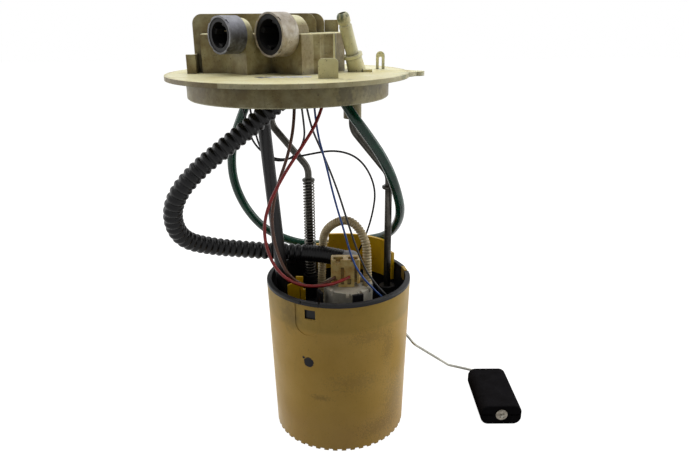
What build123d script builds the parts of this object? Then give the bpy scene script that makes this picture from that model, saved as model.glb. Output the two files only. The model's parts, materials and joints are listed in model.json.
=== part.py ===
"""In-tank fuel pump module: sprung flange over a reservoir cup, with pump, level sender and float.

The origin is the middle of the cup's foot, on the plane it stands on. +Z is up, +X points from the
cup towards the float, and the level sender is on the cup's +Y side. All sizes are in millimetres.
"""

from build123d import *
import math
import os

os.makedirs("parts", exist_ok=True)

# reservoir cup: a tapered moulding in two layers, an outer sleeve and an inner cup
CUP_FOOT_R = 47.1
CUP_RIM_R = 50.5
CUP_H = 113.6
RIM_T = 2.2
SLEEVE_WALL = 1.5
CUP_WALL = 1.6
FLOOR_Z = 3.0
FLOOR_T = 2.0
FOOT_NOTCHES = 48
FOOT_PAD_R = 8.0
TAB_ANGLE = 11.0
VALVE_XY = (-24.0, -18.0)
NEST_GAP = 0.05

# flange that closes the tank
FLANGE_X = -30.4
FLANGE_R = 76.2
FLANGE_Z = 250.2
DISC_T = 2.7
SKIRT_R = 63.5
SKIRT_DROP = 11.95
SKIRT_WALL = 3.0
POINTER_REACH = 86.8

# electrical tower on the flange, with two round sockets that look forward and left
TOWER_LEFT, TOWER_RIGHT = -83.0, 5.3
TOWER_FRONT, TOWER_BACK = -7.0, 22.0
TOWER_H = 23.6
TOWER_WALL = 3.0
HOOD_LEFT, HOOD_RIGHT = -89.0, -12.3
HOOD_H = 35.0
SOCKET_ANGLE = 42.0
SOCKET_Y = -25.0
SOCKET_H = 23.1
SOCKET_COLLAR_L = 12.5
SOCKET_FACE = 13.0
RING_GAP = 0.6
RING_LIP = 1.6
RING_FACE = 1.15
SOCKETS = {
    "left": {"x": -68.0, "ring": 10.9, "barrel": 9.5, "bore": 8.4, "pocket": 7.4, "reach": 19.2},
    "right": {"x": -39.0, "ring": 12.7, "barrel": 10.9, "bore": 9.8, "pocket": 8.8, "reach": 24.0},
}

# fuel supply spigot
SPIGOT_R = 3.945
SPIGOT_BORE_R = 2.2
SPIGOT_ROOT = (13.1, 0.0)
SPIGOT_LEAN = (-9.2, -8.0, 34.6)
SPIGOT_L = 37.0

# guide rods, joggled above the cup, and the spring on one of them
ROD_R = 2.5
ROD_JOG = 25.0
ROD_TOP_Z = FLANGE_Z - 5.2
ROD_JOG_TOP, ROD_JOG_BOTTOM = 214.0, 183.0
ROD_FOOT_Z = 50.0
ROD_BEAD_Z, ROD_BEAD_H, ROD_BEAD_R = 172.7, 2.4, 4.6
LEFT_ROD = (-21.5, 33.0)
RIGHT_ROD = (35.3, 12.0)
ROD_FIT = 0.06
BOSS_R = 6.0
BOSS_DROP = 28.5
SPRING_R = 3.85
SPRING_WIRE_R = 0.5
SPRING_SEAT_Z = 99.6
SPRING_TURNS = 32

# tray inside the cup that carries the pump and the guide bushes
TRAY_Z, TRAY_T = 78.0, 4.0
BUSH_R = 4.5
BUSH_L = 17.6

# electric pump
PUMP_X, PUMP_Y = 6.8, -13.0
CASE_R, CASE_WALL = 19.0, 1.2
CASE_Z0, CASE_Z1 = 22.0, 96.0
CAP_R = 16.75
CAP_TOP_Z = 112.0
SHAFT_R = 2.0
RUN_FIT = 0.04

# level sender, arm and float
PIVOT = (20.0, 60.0)
SENDER_Y = 53.5
ARM_R = 1.0
ARM_Y = SENDER_Y + 4.3
ARM_DIP = 32.3
FLOAT_X, FLOAT_Y, FLOAT_Z = 119.0, 6.75, 8.0
FLOAT_L, FLOAT_W, FLOAT_H = 51.5, 30.0, 16.0
FLOAT_AXIS_Z = 8.7
CAP_DISC_R = 4.3

# rigid return pipe and hose sizes
DROP_TUBE = (-38.4, 0.0)
DROP_TUBE_TOP = (-49.8, 0.0)
DROP_TUBE_END_Z = 90.0
DROP_TUBE_R = 4.25
SUPPLY_R = 6.25
GREEN_R = 3.25
TAN_R = 3.1
POWER_WIRE_R = 1.05
SIGNAL_WIRE_R = 0.7

# where the hoses and wires meet their fittings
SUPPLY_TOP = (-22.5, -20.0, FLANGE_Z - 6.9)
SUPPLY_END = (3.5, 4.0, 124.0)
PLUG_FACE_Z = FLANGE_Z - 10.2
RETURN_TOP, RETURN_FOOT = (2.0, -6.0), (-58.0, 30.0)
TAN_START = (20.5, -8.0, 104.0)
TAN_END = (-13.0, 22.0, 34.0)
WIRE_BLOCK_Y = -13.2
ELBOW_XY = (9.3, 4.0)

# Routes of the hoses and wires, as hand-chosen corner points
ROUTES = {
    "supply_hose": (SUPPLY_R, [
        SUPPLY_TOP, (-33.5, -22.0, 239.0), (-48.0, -26.0, 226.0), (-66.0, -30.0, 212.5),
        (-85.5, -32.5, 197.5), (-100.0, -33.0, 181.5), (-106.0, -28.0, 164.5), (-103.5, -16.5, 146.0),
        (-87.0, -1.5, 135.5), (-64.0, 9.5, 129.0), (-38.0, 12.0, 126.0), (-12.0, 8.2, 126.0), SUPPLY_END]),
    "return_hose": (GREEN_R, [
        (*RETURN_TOP, PLUG_FACE_Z), (7.5, -10.0, 230.0), (18.0, -14.5, 217.0), (30.0, -14.5, 199.5),
        (38.0, -10.0, 181.0), (45.0, 9.5, 154.5), (38.5, 34.5, 130.5), (22.0, 54.5, 119.5),
        (-1.0, 63.0, 113.5), (-29.0, 65.0, 111.5), (-56.5, 60.0, 124.5), (-71.5, 54.0, 145.0),
        (-79.0, 47.5, 169.5), (-78.0, 41.5, 193.0), (-71.0, 35.5, 213.5), (*RETURN_FOOT, PLUG_FACE_Z)]),
    "power_wire_red": (POWER_WIRE_R, [
        (-7.0, -10.5, PLUG_FACE_Z), (-10.5, -15.0, 226.0), (-22.5, -22.0, 208.0), (-34.0, -29.0, 192.0),
        (-44.5, -35.0, 172.0), (-47.0, -34.0, 152.5), (-41.5, -29.5, 130.0), (-27.5, -27.5, 117.0),
        (-9.0, -24.0, 115.0), (2.5, -19.5, 117.0), (7.5, WIRE_BLOCK_Y, 117.0)]),
    "power_wire_brown": (POWER_WIRE_R, [
        (-26.5, -8.0, PLUG_FACE_Z), (-26.5, -11.0, 224.0), (-30.5, -19.5, 204.0), (-37.5, -26.0, 186.0),
        (-42.0, -30.5, 167.5), (-41.0, -28.5, 147.0), (-35.0, -25.0, 125.5), (-23.5, -21.0, 113.5),
        (-10.5, -19.0, 113.5), (-2.0, WIRE_BLOCK_Y, 117.0)]),
    "signal_wire_blue": (SIGNAL_WIRE_R, [
        (-14.5, -8.0, PLUG_FACE_Z), (-13.5, -9.5, 219.5), (-7.5, -13.0, 197.5), (-2.0, -16.5, 173.5),
        (4.5, -17.5, 151.0), (10.5, -20.5, 128.5), (21.0, -22.5, 114.5), (31.5, -22.0, 104.0)]),
    "signal_wire_black": (SIGNAL_WIRE_R, [
        (-20.5, -4.0, PLUG_FACE_Z), (-18.0, -2.5, 221.0), (-9.5, -4.0, 201.5), (-0.5, -7.0, 179.0),
        (6.5, -8.5, 155.5), (14.0, -13.4, 133.0), (22.5, -16.8, 115.5), (35.0, -21.0, 104.0)]),
    "sender_lead": (SIGNAL_WIRE_R, [
        (-65.0, 15.0, PLUG_FACE_Z), (-61.5, 14.5, 219.0), (-56.0, 10.5, 203.0), (-41.5, 11.5, 192.5),
        (-20.5, 8.0, 198.0), (0.5, 5.0, 202.0), (17.0, 11.0, 193.5), (27.0, 18.0, 172.0),
        (25.0, 24.0, 150.0), (19.0, 29.5, 128.0), (13.5, 38.0, 112.0)]),
    "bridge_lead": (SIGNAL_WIRE_R, [
        (-24.0, 2.0, PLUG_FACE_Z), (-22.0, 4.0, 223.5), (-21.5, 8.5, 206.0), (-33.5, 15.0, 191.5),
        (-50.0, 16.5, 193.0), (-57.0, 18.0, 212.0), (-60.5, 19.0, PLUG_FACE_Z)]),
    "jet_feed_tube": (TAN_R, [
        TAN_START, (20.0, -7.5, 124.0), (19.5, -5.0, 142.0), (7.5, 1.0, 156.0),
        (-10.0, 13.0, 143.5), (-12.0, 21.4, 122.0), (-13.5, 22.5, 80.0), TAN_END]),
}


def cup_r(z):
    """Outer radius of the tapered sleeve at height z."""
    return CUP_FOOT_R + (CUP_RIM_R - CUP_FOOT_R) * z / CUP_H


def cup_inner_r(z):
    """Inner radius of the cup at height z."""
    return cup_r(z) - SLEEVE_WALL - NEST_GAP - CUP_WALL


def at(shape, x=0.0, y=0.0, z=0.0):
    """The shape moved by x, y, z."""
    return Pos(x, y, z) * shape


def rod(radius, z0, z1, x=0.0, y=0.0):
    """A vertical cylinder from z0 to z1."""
    return Pos(x, y, (z0 + z1) / 2) * Cylinder(radius, z1 - z0)


def tube(outer, inner, z0, z1, x=0.0, y=0.0):
    """A vertical tube from z0 to z1."""
    return rod(outer, z0, z1, x, y) - rod(inner, z0 - 1, z1 + 1, x, y)


def block(x0, x1, y0, y1, z0, z1):
    """A box given by its six faces."""
    return Pos((x0 + x1) / 2, (y0 + y1) / 2, (z0 + z1) / 2) * Box(x1 - x0, y1 - y0, z1 - z0)


def turned(points, x=0.0, y=0.0):
    """A solid turned about a vertical axis from (radius, height) points."""
    face = make_face(Plane.XZ * Polyline(*points, close=True))
    return Pos(x, y, 0) * revolve(face, axis=Axis.Z)


def around(count, radius, first=0.0):
    """Places spread evenly around the Z axis, facing outwards."""
    step = 360.0 / count
    return [Rot(0, 0, first + i * step) * Pos(radius, 0, 0) for i in range(count)]


def along_y(radius, y0, y1, x, z):
    """A cylinder along Y."""
    return Pos(x, (y0 + y1) / 2, z) * Rot(90, 0, 0) * Cylinder(radius, y1 - y0)


# reservoir

def reservoir_sleeve():
    """Outer sleeve of the cup: tapered wall, notched foot, latch window in a shallow recess."""
    top = CUP_H - RIM_T
    wall = turned([(cup_r(0), 0), (cup_r(top), top), (cup_r(top) - SLEEVE_WALL, top),
                   (cup_r(0) - SLEEVE_WALL, 0)])
    for place in around(FOOT_NOTCHES, CUP_FOOT_R):
        wall -= place * Pos(0, 0, 0.3) * Box(8, 3.0, 2.0)
    recess_x, recess_w, recess_z = -20.0, 16.0, 98.0
    profile = Rectangle(recess_w, 30) + Pos(0, -15) * Circle(recess_w / 2)
    prism = Pos(recess_x, -60, recess_z + 14.6) * extrude(Plane.XZ * profile, 20, both=True)
    skin = turned([(cup_r(0) - 0.35, 0), (cup_r(CUP_H) - 0.35, CUP_H), (80, CUP_H), (80, 0)])
    wall -= prism & skin
    wall -= block(-21.6, -14.7, -60, -40, 101.5, 108.4)
    tab = Rot(0, 0, TAB_ANGLE) * block(CUP_RIM_R - 3.2, CUP_RIM_R - 1.1, -4, 4, top - 6, CUP_H + 0.4)
    wall -= Rot(0, 0, TAB_ANGLE) * block(CUP_RIM_R - 5, CUP_RIM_R - 1.1, -4.0, 4.0, top - 6, top + 1)
    return wall + tab


def reservoir_cup():
    """Inner cup with its floor, its rim over the sleeve, and the ledges that the tray rests on."""
    gap = SLEEVE_WALL + NEST_GAP
    top = CUP_H - RIM_T + NEST_GAP
    body = turned([(0, FLOOR_Z), (cup_r(FLOOR_Z) - gap, FLOOR_Z), (cup_r(top) - gap, top),
                   (CUP_RIM_R, top), (CUP_RIM_R, CUP_H - 0.5), (CUP_RIM_R - 0.5, CUP_H),
                   (CUP_RIM_R - 3.3, CUP_H), (cup_inner_r(top), top - 3),
                   (cup_inner_r(FLOOR_Z + FLOOR_T), FLOOR_Z + FLOOR_T), (0, FLOOR_Z + FLOOR_T)])
    body += rod(FOOT_PAD_R, 0, FLOOR_Z + 0.5)
    body += turned([(cup_r(0.4) - gap - 1.4, 0.4), (cup_r(0.4) - gap, 0.4),
                    (cup_r(FLOOR_Z + 0.5) - gap, FLOOR_Z + 0.5), (cup_r(0.4) - gap - 1.4, FLOOR_Z + 0.5)])
    for angle in (100, 160, 222, 340):
        r = cup_inner_r(TRAY_Z)
        ledge = Rot(0, 0, angle) * block(r - 2.2, r + 0.8, -3, 3, TRAY_Z - 10, TRAY_Z - NEST_GAP)
        body += ledge
    for x in (-24.3, -12.2):
        body -= block(x - 0.5, x + 0.5, -60, -43, CUP_H - 1.4, CUP_H + 1)
    body -= Rot(0, 0, TAB_ANGLE) * block(CUP_RIM_R - 3.4, CUP_RIM_R + 1, -4.3, 4.3, top - 7, CUP_H + 1)
    for place in around(6, 4.5):
        body -= Pos(*VALVE_XY, 0) * place * Pos(0, 0, FLOOR_Z + 1) * Cylinder(1.5, 6)
    body -= rod(1.2, 0, 8, *VALVE_XY)
    body -= rod(2.5, 0, 8, TAN_END[0] - 9, TAN_END[1])
    return body


def inlet_valve():
    """Rubber disc valve over the holes in the floor, on a short stem."""
    z = FLOOR_Z + FLOOR_T + 0.05
    disc = rod(7.0, z, z + 1.2, *VALVE_XY)
    return disc + rod(1.1, z - 2.0, z + 4.0, *VALVE_XY)


def valve_cage():
    """Open cage over the disc valve that lets it lift and guides its stem."""
    z = FLOOR_Z + FLOOR_T + 0.02
    shell = rod(9.5, z, z + 7.2, *VALVE_XY) - rod(8.0, z - 1, z + 5.4, *VALVE_XY)
    shell -= rod(1.25, z, z + 8, *VALVE_XY)
    for turn in (0, 60, 120):
        slot = Rot(0, 0, turn) * Box(24, 5.0, 3.6)
        shell -= Pos(*VALVE_XY, z + 3.2) * slot
    return shell


def jet_pump():
    """Suction jet in the floor: feed stem, cross body and nozzle over its floor hole."""
    x, y, z = TAN_END
    floor = FLOOR_Z + FLOOR_T + 0.02
    body = block(x - 14, x + 6, y - 5.5, y + 5.5, floor, floor + 8)
    body += rod(4.2, floor, z - 8, x, y)
    body += rod(3.4, z - 9, z, x, y)
    body += rod(4.6, floor, floor + 11, x - 9, y)
    body -= rod(1.6, floor + 3, z + 1, x, y)
    body -= rod(2.5, floor - 1, floor + 6, x - 9, y)
    body -= Pos(x - 4.5, y, floor + 4.5) * Rot(0, 90, 0) * Cylinder(1.4, 9.5)
    return body


def carrier_tray():
    """Tray across the cup: pump ring, three cap clips, two bush bosses and gaps for the pipes."""
    z0, z1 = TRAY_Z, TRAY_Z + TRAY_T
    plate = turned([(0, z0), (cup_inner_r(z0) - 0.15, z0), (cup_inner_r(z0) - 0.15, z1), (0, z1)])
    plate += tube(CASE_R + 3.6, CASE_R + 1, z0 - 4, z1 + 3, PUMP_X, PUMP_Y)
    for x, y in (LEFT_ROD, RIGHT_ROD):
        plate += rod(6.2, z0, SPRING_SEAT_Z - 3.62, x, y)
    plate -= rod(CASE_R + 2.0, z0 - 5, z1 + 5, PUMP_X, PUMP_Y)
    for x, y in (LEFT_ROD, RIGHT_ROD):
        plate -= rod(BUSH_R, z0 - 3, SPRING_SEAT_Z + 1, x, y)
    plate -= rod(DROP_TUBE_R + 1.0, z0 - 1, z1 + 1, *DROP_TUBE)
    plate -= block(-60, DROP_TUBE[0], -DROP_TUBE_R - 1, DROP_TUBE_R + 1, z0 - 1, z1 + 1)
    plate -= rod(TAN_R + 0.9, z0 - 1, z1 + 1, -13.35, 22.45)
    for x, y in ((-2, 33), (22, 27), (-28, 12), (-24, -26)):
        plate -= rod(5.0, z0 - 1, z1 + 1, x, y)
    r = CASE_R + 1.2
    for angle, arm_top in ((45, 107.5), (205, 110.5), (287, 113.2)):
        arm = block(r, r + 2.0, -3.6, 3.6, z1, arm_top) + block(r - 3.0, r + 2.0, -3.6, 3.6, 96.1, 98)
        plate += Pos(PUMP_X, PUMP_Y, 0) * Rot(0, 0, angle) * arm
    return plate


def guide_bush(xy):
    """Bush pressed into the tray, with a shoulder that seats the spring."""
    x, y = xy
    top = SPRING_SEAT_Z
    body = rod(BUSH_R, top - BUSH_L - 4, top - 1.6, x, y) + rod(5.6, top - 3.6, top, x, y)
    return body - rod(ROD_R + ROD_FIT, top - 2 * BUSH_L, top + 5, x, y)


def sender_carrier():
    """Curved plate inside the back of the rim, lower at its two ends, with an inner lug."""
    def arc(a0, a1, r0, r1, z0, z1):
        ring = tube(r1, r0, z0, z1)
        keep = Polyline((0, 0), *[(70 * math.cos(math.radians(a)), 70 * math.sin(math.radians(a)))
                                  for a in (a0, (a0 + a1) / 2, a1)], close=True)
        return ring & Pos(0, 0, z0) * extrude(make_face(keep), z1 - z0)
    body = arc(40, 100, 44.5, 46.6, 100, 128) + arc(28, 112, 44.5, 46.6, 100, 121)
    lug = block(-3.2, 3.2, -3, 3, 104, 112)
    body += Pos(13.5, 38, 0) * lug
    body += Rot(0, 0, 70.4) * block(41, 45, -3, 3, 104, 109)
    return body


def hose_clip():
    """Upright clip at the front left of the cup: a slanted leaf, a taller tongue and a short leaf."""
    foot = TRAY_Z + TRAY_T + 0.02
    left = Polyline((-34.8, foot), (-26.6, foot), (-26.6, 115.6), (-28.4, 115.6), (-34.8, 112.6), close=True)
    body = Pos(0, -15.4, 0) * extrude(Plane.XZ * make_face(left), 1.6)
    body += block(-29.0, -24.2, -15.6, -13.6, foot, 118.2)
    body += block(-25.8, -22.6, -17.0, -15.0, foot, 109.5) + block(-34.8, -22.6, -17.0, -13.6, foot, 97)
    return body


# pump

def on_pump(shape):
    """The shape moved onto the pump's axis."""
    return Pos(PUMP_X, PUMP_Y, 0) * shape


def pump_case():
    """Steel tube with both ends crimped inwards."""
    r, w = CASE_R, CASE_WALL
    points = [(r - 0.9, CASE_Z0), (r, CASE_Z0 + 1.2), (r, CASE_Z1 - 1.2), (r - 0.9, CASE_Z1),
              (r - 1.9, CASE_Z1), (r - 1.9, CASE_Z1 - 0.9), (r - w, CASE_Z1 - 1.6),
              (r - w, CASE_Z0 + 1.6), (r - 1.9, CASE_Z0 + 0.9), (r - 1.9, CASE_Z0)]
    return turned(points, PUMP_X, PUMP_Y)


def pump_inlet_cover():
    """Inlet cover with its neck and the lower half of the pumping channel."""
    body = turned([(0, 23.8), (17.7, 23.8), (17.7, 28.6), (0, 28.6)])
    body += rod(16.8, 22.2, 24.4) + rod(8.0, 14.2, 23.0)
    body -= tube(14.8, 12.4, 27.8, 29.0)
    body -= rod(5.0, 13, 25.5)
    body -= block(0, 14.6, -1.9, 1.9, 24.6, 26.6) + rod(1.9, 24.6, 30, 13.2, 0)
    return on_pump(body)


def impeller_housing():
    """Upper half of the pumping chamber, with the lower shaft bearing."""
    body = rod(17.7, 28.65, 36.5) - rod(15.4, 28, 33.0)
    body -= rod(SHAFT_R + RUN_FIT, 30, 40)
    body -= rod(2.2, 30, 40, -12.4, 0)
    return on_pump(body)


def pump_impeller():
    """Vaned impeller disc keyed to the shaft."""
    body = rod(15.0, 28.95, 32.6)
    for place in around(36, 14.4):
        body -= place * Pos(0, 0, 30.8) * Box(2.6, 1.2, 6)
    body -= rod(SHAFT_R, 28, 34)
    return on_pump(body)


def pump_shaft():
    """Shaft from the impeller to the bearing in the outlet cap."""
    return on_pump(rod(SHAFT_R, 29.2, 92.6))


def pump_armature():
    """Laminated armature with twelve slots."""
    body = rod(13.2, 42, 76)
    for place in around(12, 11.6):
        body -= place * Pos(0, 0, 59) * Box(4.4, 1.6, 40)
    body += tube(9.0, SHAFT_R, 39, 79)
    body -= rod(SHAFT_R, 30, 90)
    return on_pump(body)


def pump_commutator():
    """Commutator drum, split into twelve bars."""
    body = tube(5.6, SHAFT_R, 79.1, 85.5)
    for place in around(12, 5.6, 15):
        body -= place * Pos(0, 0, 82.3) * Box(1.4, 0.5, 8)
    return on_pump(body)


def pump_magnet(angle):
    """One arc magnet inside the case."""
    ring = tube(17.6, 14.2, 40, 78)
    keep = Rot(0, 0, angle) * block(0, 20, -11.5, 11.5, 39, 79)
    return on_pump(ring & keep)


def pump_brush(side):
    """Carbon brush that bears on the commutator."""
    return on_pump(block(*sorted((side * 5.72, side * 13.0)), -2.4, 2.4, 80.2, 84.6))


def pump_outlet_cap():
    """Moulded outlet cap: bearing, brush guides, notched crown, hose outlet and jet outlet."""
    body = rod(17.7, 86.5, 94.2) + rod(CAP_R, 86.5, 109) + tube(CAP_R, 13.9, 108, CAP_TOP_Z)
    for angle in (75, 105, 165, 200, 228, 268, 300, 330, 352):
        body -= Rot(0, 0, angle) * block(13, 18, -1.1, 1.1, 109, CAP_TOP_Z + 1)
    body -= Rot(0, 0, 284) * block(13.2, 18, -2.6, 2.6, 104, CAP_TOP_Z + 1)
    lobe_x, lobe_y = ELBOW_XY[0] - PUMP_X, ELBOW_XY[1] - PUMP_Y
    body += rod(7.2, 98, CAP_TOP_Z, lobe_x, lobe_y)
    body += block(-3, 8, 2, lobe_y, 98, 109)
    tan_x, tan_y = TAN_START[0] - PUMP_X, TAN_START[1] - PUMP_Y
    body -= rod(TAN_R + 0.9, TAN_START[2], CAP_TOP_Z + 1, tan_x, tan_y)
    body -= block(tan_x, tan_x + 6, tan_y - 3.5, tan_y + 3.5, TAN_START[2], CAP_TOP_Z + 1)
    body -= rod(SHAFT_R + RUN_FIT, 80, 93.2)
    body -= rod(2.6, 100, CAP_TOP_Z + 1, lobe_x, lobe_y)
    for side in (-1, 1):
        body += block(*sorted((side * 7.0, side * 14.0)), -4.2, 4.2, 84.8, 87.0)
    return on_pump(body)


def pump_plug():
    """Wire block on the cap: a T between two pockets on its top, and grooves down its front."""
    front, back, top = WIRE_BLOCK_Y, -3.2, 129.4
    body = block(-5, 15, front, back, CAP_TOP_Z + 0.02, top)
    body = fillet(body.edges().filter_by(Axis.Z), 1.4)
    body += block(0, 11, front + 1, back - 2, 109.02, CAP_TOP_Z + 1)
    for x0, x1 in ((-3.4, 3.2), (6.8, 13.4)):
        body -= block(x0, x1, front + 1.5, back - 3.6, top - 3.2, top + 1)
        body -= block((x0 + x1) / 2 - 1.6, (x0 + x1) / 2 + 1.6, front - 1, front + 2, top - 2.2, top + 1)
    for x, wide, high in ((-2.0, 2.6, 115.6), (7.5, 2.6, 115.6), (2.8, 2.2, 124.0), (12.0, 1.8, 124.0)):
        body -= block(x - wide / 2, x + wide / 2, front - 1, front + 2.0, CAP_TOP_Z - 1, high)
    return body


def hose_elbow():
    """Domed elbow that turns the pump's outlet to the supply hose."""
    x, y = ELBOW_XY
    z = SUPPLY_END[2]
    body = rod(5.6, CAP_TOP_Z + 0.02, z, x, y) + Pos(x, y, z) * Sphere(5.6)
    body += Pos((x + SUPPLY_END[0]) / 2, y, z) * Rot(0, 90, 0) * Cylinder(5.6, x - SUPPLY_END[0])
    return body


def isolator_ring():
    """Rubber ring between the pump case and the tray."""
    body = tube(CASE_R + 1.95, CASE_R, TRAY_Z - 3, TRAY_Z + 3.9, PUMP_X, PUMP_Y)
    for place in around(16, CASE_R + 2.0):
        body -= Pos(PUMP_X, PUMP_Y, 0) * place * Pos(0, 0, TRAY_Z + 2.5) * Cylinder(0.9, 14)
    return body


def inlet_strainer():
    """Flat strainer under the pump, with its collar on the pump's inlet neck."""
    floor = FLOOR_Z + FLOOR_T + 0.02
    body = turned([(0, floor), (16, floor), (17, floor + 1.2), (17, floor + 4.5), (15.5, floor + 6),
                   (10.6, floor + 7.4), (10.6, 18.5), (8.0, 18.5), (8.0, 14.15), (4.8, 14.15),
                   (4.8, floor + 5.4), (0, floor + 5.4)])
    return on_pump(body)


# flange assembly

def socket_place(x):
    """Frame of a socket: its mouth at the origin, its axis along +Z into the tower."""
    turn = Rot(0, 0, -SOCKET_ANGLE) * Rot(-90, 0, 0)
    return Pos(x, SOCKET_Y, FLANGE_Z + DISC_T + SOCKET_H) * turn


def flange_disc():
    """Round disc with the pointer tongue on its +X side."""
    disc = Pos(FLANGE_X, 0) * Circle(FLANGE_R)
    tip_r = 5.0
    tip_x = FLANGE_X + POINTER_REACH - tip_r
    tongue = make_face(Polyline((30, -27), (42.5, -13.5), (tip_x - 1, -tip_r), (tip_x - 1, tip_r),
                                (42.5, 13.5), (30, 27), close=True))
    outline = disc + tongue + Pos(tip_x - 0.6, 0) * Circle(tip_r)
    return Pos(0, 0, FLANGE_Z) * extrude(outline, DISC_T)


def beside_socket(name, along, across):
    """Plan point at a distance along a socket's axis from its mouth, and across it to the right."""
    angle = math.radians(SOCKET_ANGLE)
    x = SOCKETS[name]["x"] + along * math.sin(angle) + across * math.cos(angle)
    return (x, SOCKET_Y + along * math.cos(angle) - across * math.sin(angle))


def tower_plan():
    """Saw-toothed plan of the lower box: each socket springs from a face square to its axis."""
    clear = SOCKETS["right"]["ring"] + RING_GAP
    angle = math.radians(SOCKET_ANGLE)
    apart = (SOCKETS["right"]["x"] - SOCKETS["left"]["x"]) * math.cos(angle)
    reach = SOCKETS["right"]["reach"]
    points = [(TOWER_LEFT, TOWER_FRONT),
              beside_socket("left", SOCKET_FACE, -12.0),
              beside_socket("left", SOCKET_FACE, apart - clear),
              beside_socket("right", SOCKET_FACE, -clear),
              beside_socket("right", SOCKET_FACE, 13.8),
              beside_socket("right", reach - 1, 13.8),
              (-9.5, -15.5), (-7.0, -11.0), (-3.5, -9.5), (-0.5, -8.5), (0.5, 2.0), (TOWER_RIGHT, 8.0),
              (TOWER_RIGHT, TOWER_BACK), (TOWER_LEFT, TOWER_BACK)]
    return make_face(Polyline(*points, close=True))


def flange_tower(z):
    """Saw-toothed box and taller hood that carry the sockets."""
    box = Pos(0, 0, z) * extrude(tower_plan(), TOWER_H)
    box = fillet(box.faces().sort_by(Axis.Z)[-1].edges(), 1.2)
    width = HOOD_RIGHT - HOOD_LEFT
    panel = RectangleRounded(width, 2 * HOOD_H, 6.0) & Pos(0, HOOD_H / 2) * Rectangle(width, HOOD_H)
    front = Pos((HOOD_LEFT + HOOD_RIGHT) / 2, 1.0, z) * extrude(Plane.XZ * panel, -4.0)
    back = Pos((HOOD_LEFT + HOOD_RIGHT) / 2 + 4.8, 8.0, z) * extrude(Plane.XZ * panel, -4.0)
    web = block(HOOD_LEFT + 6, HOOD_RIGHT - 3, 4, 9, z, z + HOOD_H - 7)
    body = box + front + back + web
    body += block(-7.6, 1.4, TOWER_BACK - 4, TOWER_BACK, z + TOWER_H - 1, z + 31)
    return body


def flange_uprights(z):
    """Small ribs, clip plate, eye and pad that stand on the disc."""
    body = block(-92.2, -86.4, -9.4, -7.6, z, z + 11.5) + block(-88.0, -86.4, -9.4, 0.5, z, z + 11.5)
    plate = RectangleRounded(11.3, 22.0, 2.6) & Pos(0, 5.5) * Rectangle(11.3, 11.0)
    body += Pos(-4.0, -46.0, z) * extrude(Plane.XZ * plate, 1.0, both=True)
    eye = SlotOverall(22.6, 5.6, rotation=90) & Pos(0, 5.65) * Rectangle(5.6, 11.3)
    eye -= Pos(0, 3.4) * SlotOverall(9.0, 2.0, rotation=90)
    body += Pos(28.8, 18.2, z) * extrude(Plane.XZ * eye, 1.2, both=True)
    body += block(16.8, 22.4, -6, -2.5, z, z + 1.6)
    return body


def spigot_axis():
    """Frame at the root of the spigot, with +Z along its leaning axis."""
    return Plane(origin=(SPIGOT_ROOT[0], SPIGOT_ROOT[1], FLANGE_Z + DISC_T), z_dir=SPIGOT_LEAN).location


def spigot_body():
    """Leaning quick-connect spigot: flared root, collar, grooved barrel and rounded tip."""
    r = SPIGOT_R
    tip = SPIGOT_L
    profile = [(0, -4), (6.2, -4), (5.6, 2), (5.1, 9.5), (6.0, 9.6), (6.0, 11.4), (r, 11.5),
               (r, tip - 7.6), (r - 0.5, tip - 7.2), (r - 0.5, tip - 6.2), (r, tip - 5.8),
               (r, tip - 2.2), (r - 0.5, tip - 0.9), (r - 1.3, tip), (0, tip)]
    face = make_face(Plane.XZ * Polyline(*profile, close=True))
    return spigot_axis() * revolve(face, axis=Axis.Z)


def under_side():
    """Skirt, stiffening ribs and the bosses for rods, return pipe and hoses."""
    z0 = FLANGE_Z - SKIRT_DROP
    ring = [(SKIRT_R - SKIRT_WALL, z0), (SKIRT_R - 0.8, z0), (SKIRT_R, z0 + 0.8),
            (SKIRT_R, FLANGE_Z + 0.5), (SKIRT_R - SKIRT_WALL, FLANGE_Z + 0.5)]
    body = turned(ring, FLANGE_X, 0)
    for place in around(12, SKIRT_R - 6, 15):
        rib = place * Pos(0, 0, FLANGE_Z - 3.75) * Box(10, 1.8, 8.5)
        body += Pos(FLANGE_X, 0, 0) * rib
    for x, y in (LEFT_ROD, RIGHT_ROD):
        body += rod(BOSS_R, FLANGE_Z - BOSS_DROP, FLANGE_Z + 0.5, x - ROD_JOG, y)
    body += rod(DROP_TUBE_R + 2.4, FLANGE_Z - 11, FLANGE_Z + 0.5, *DROP_TUBE_TOP)
    for x, y in (RETURN_TOP, RETURN_FOOT):
        body += rod(GREEN_R + 0.7, PLUG_FACE_Z, FLANGE_Z + 0.5, x, y)
    return body


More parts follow.
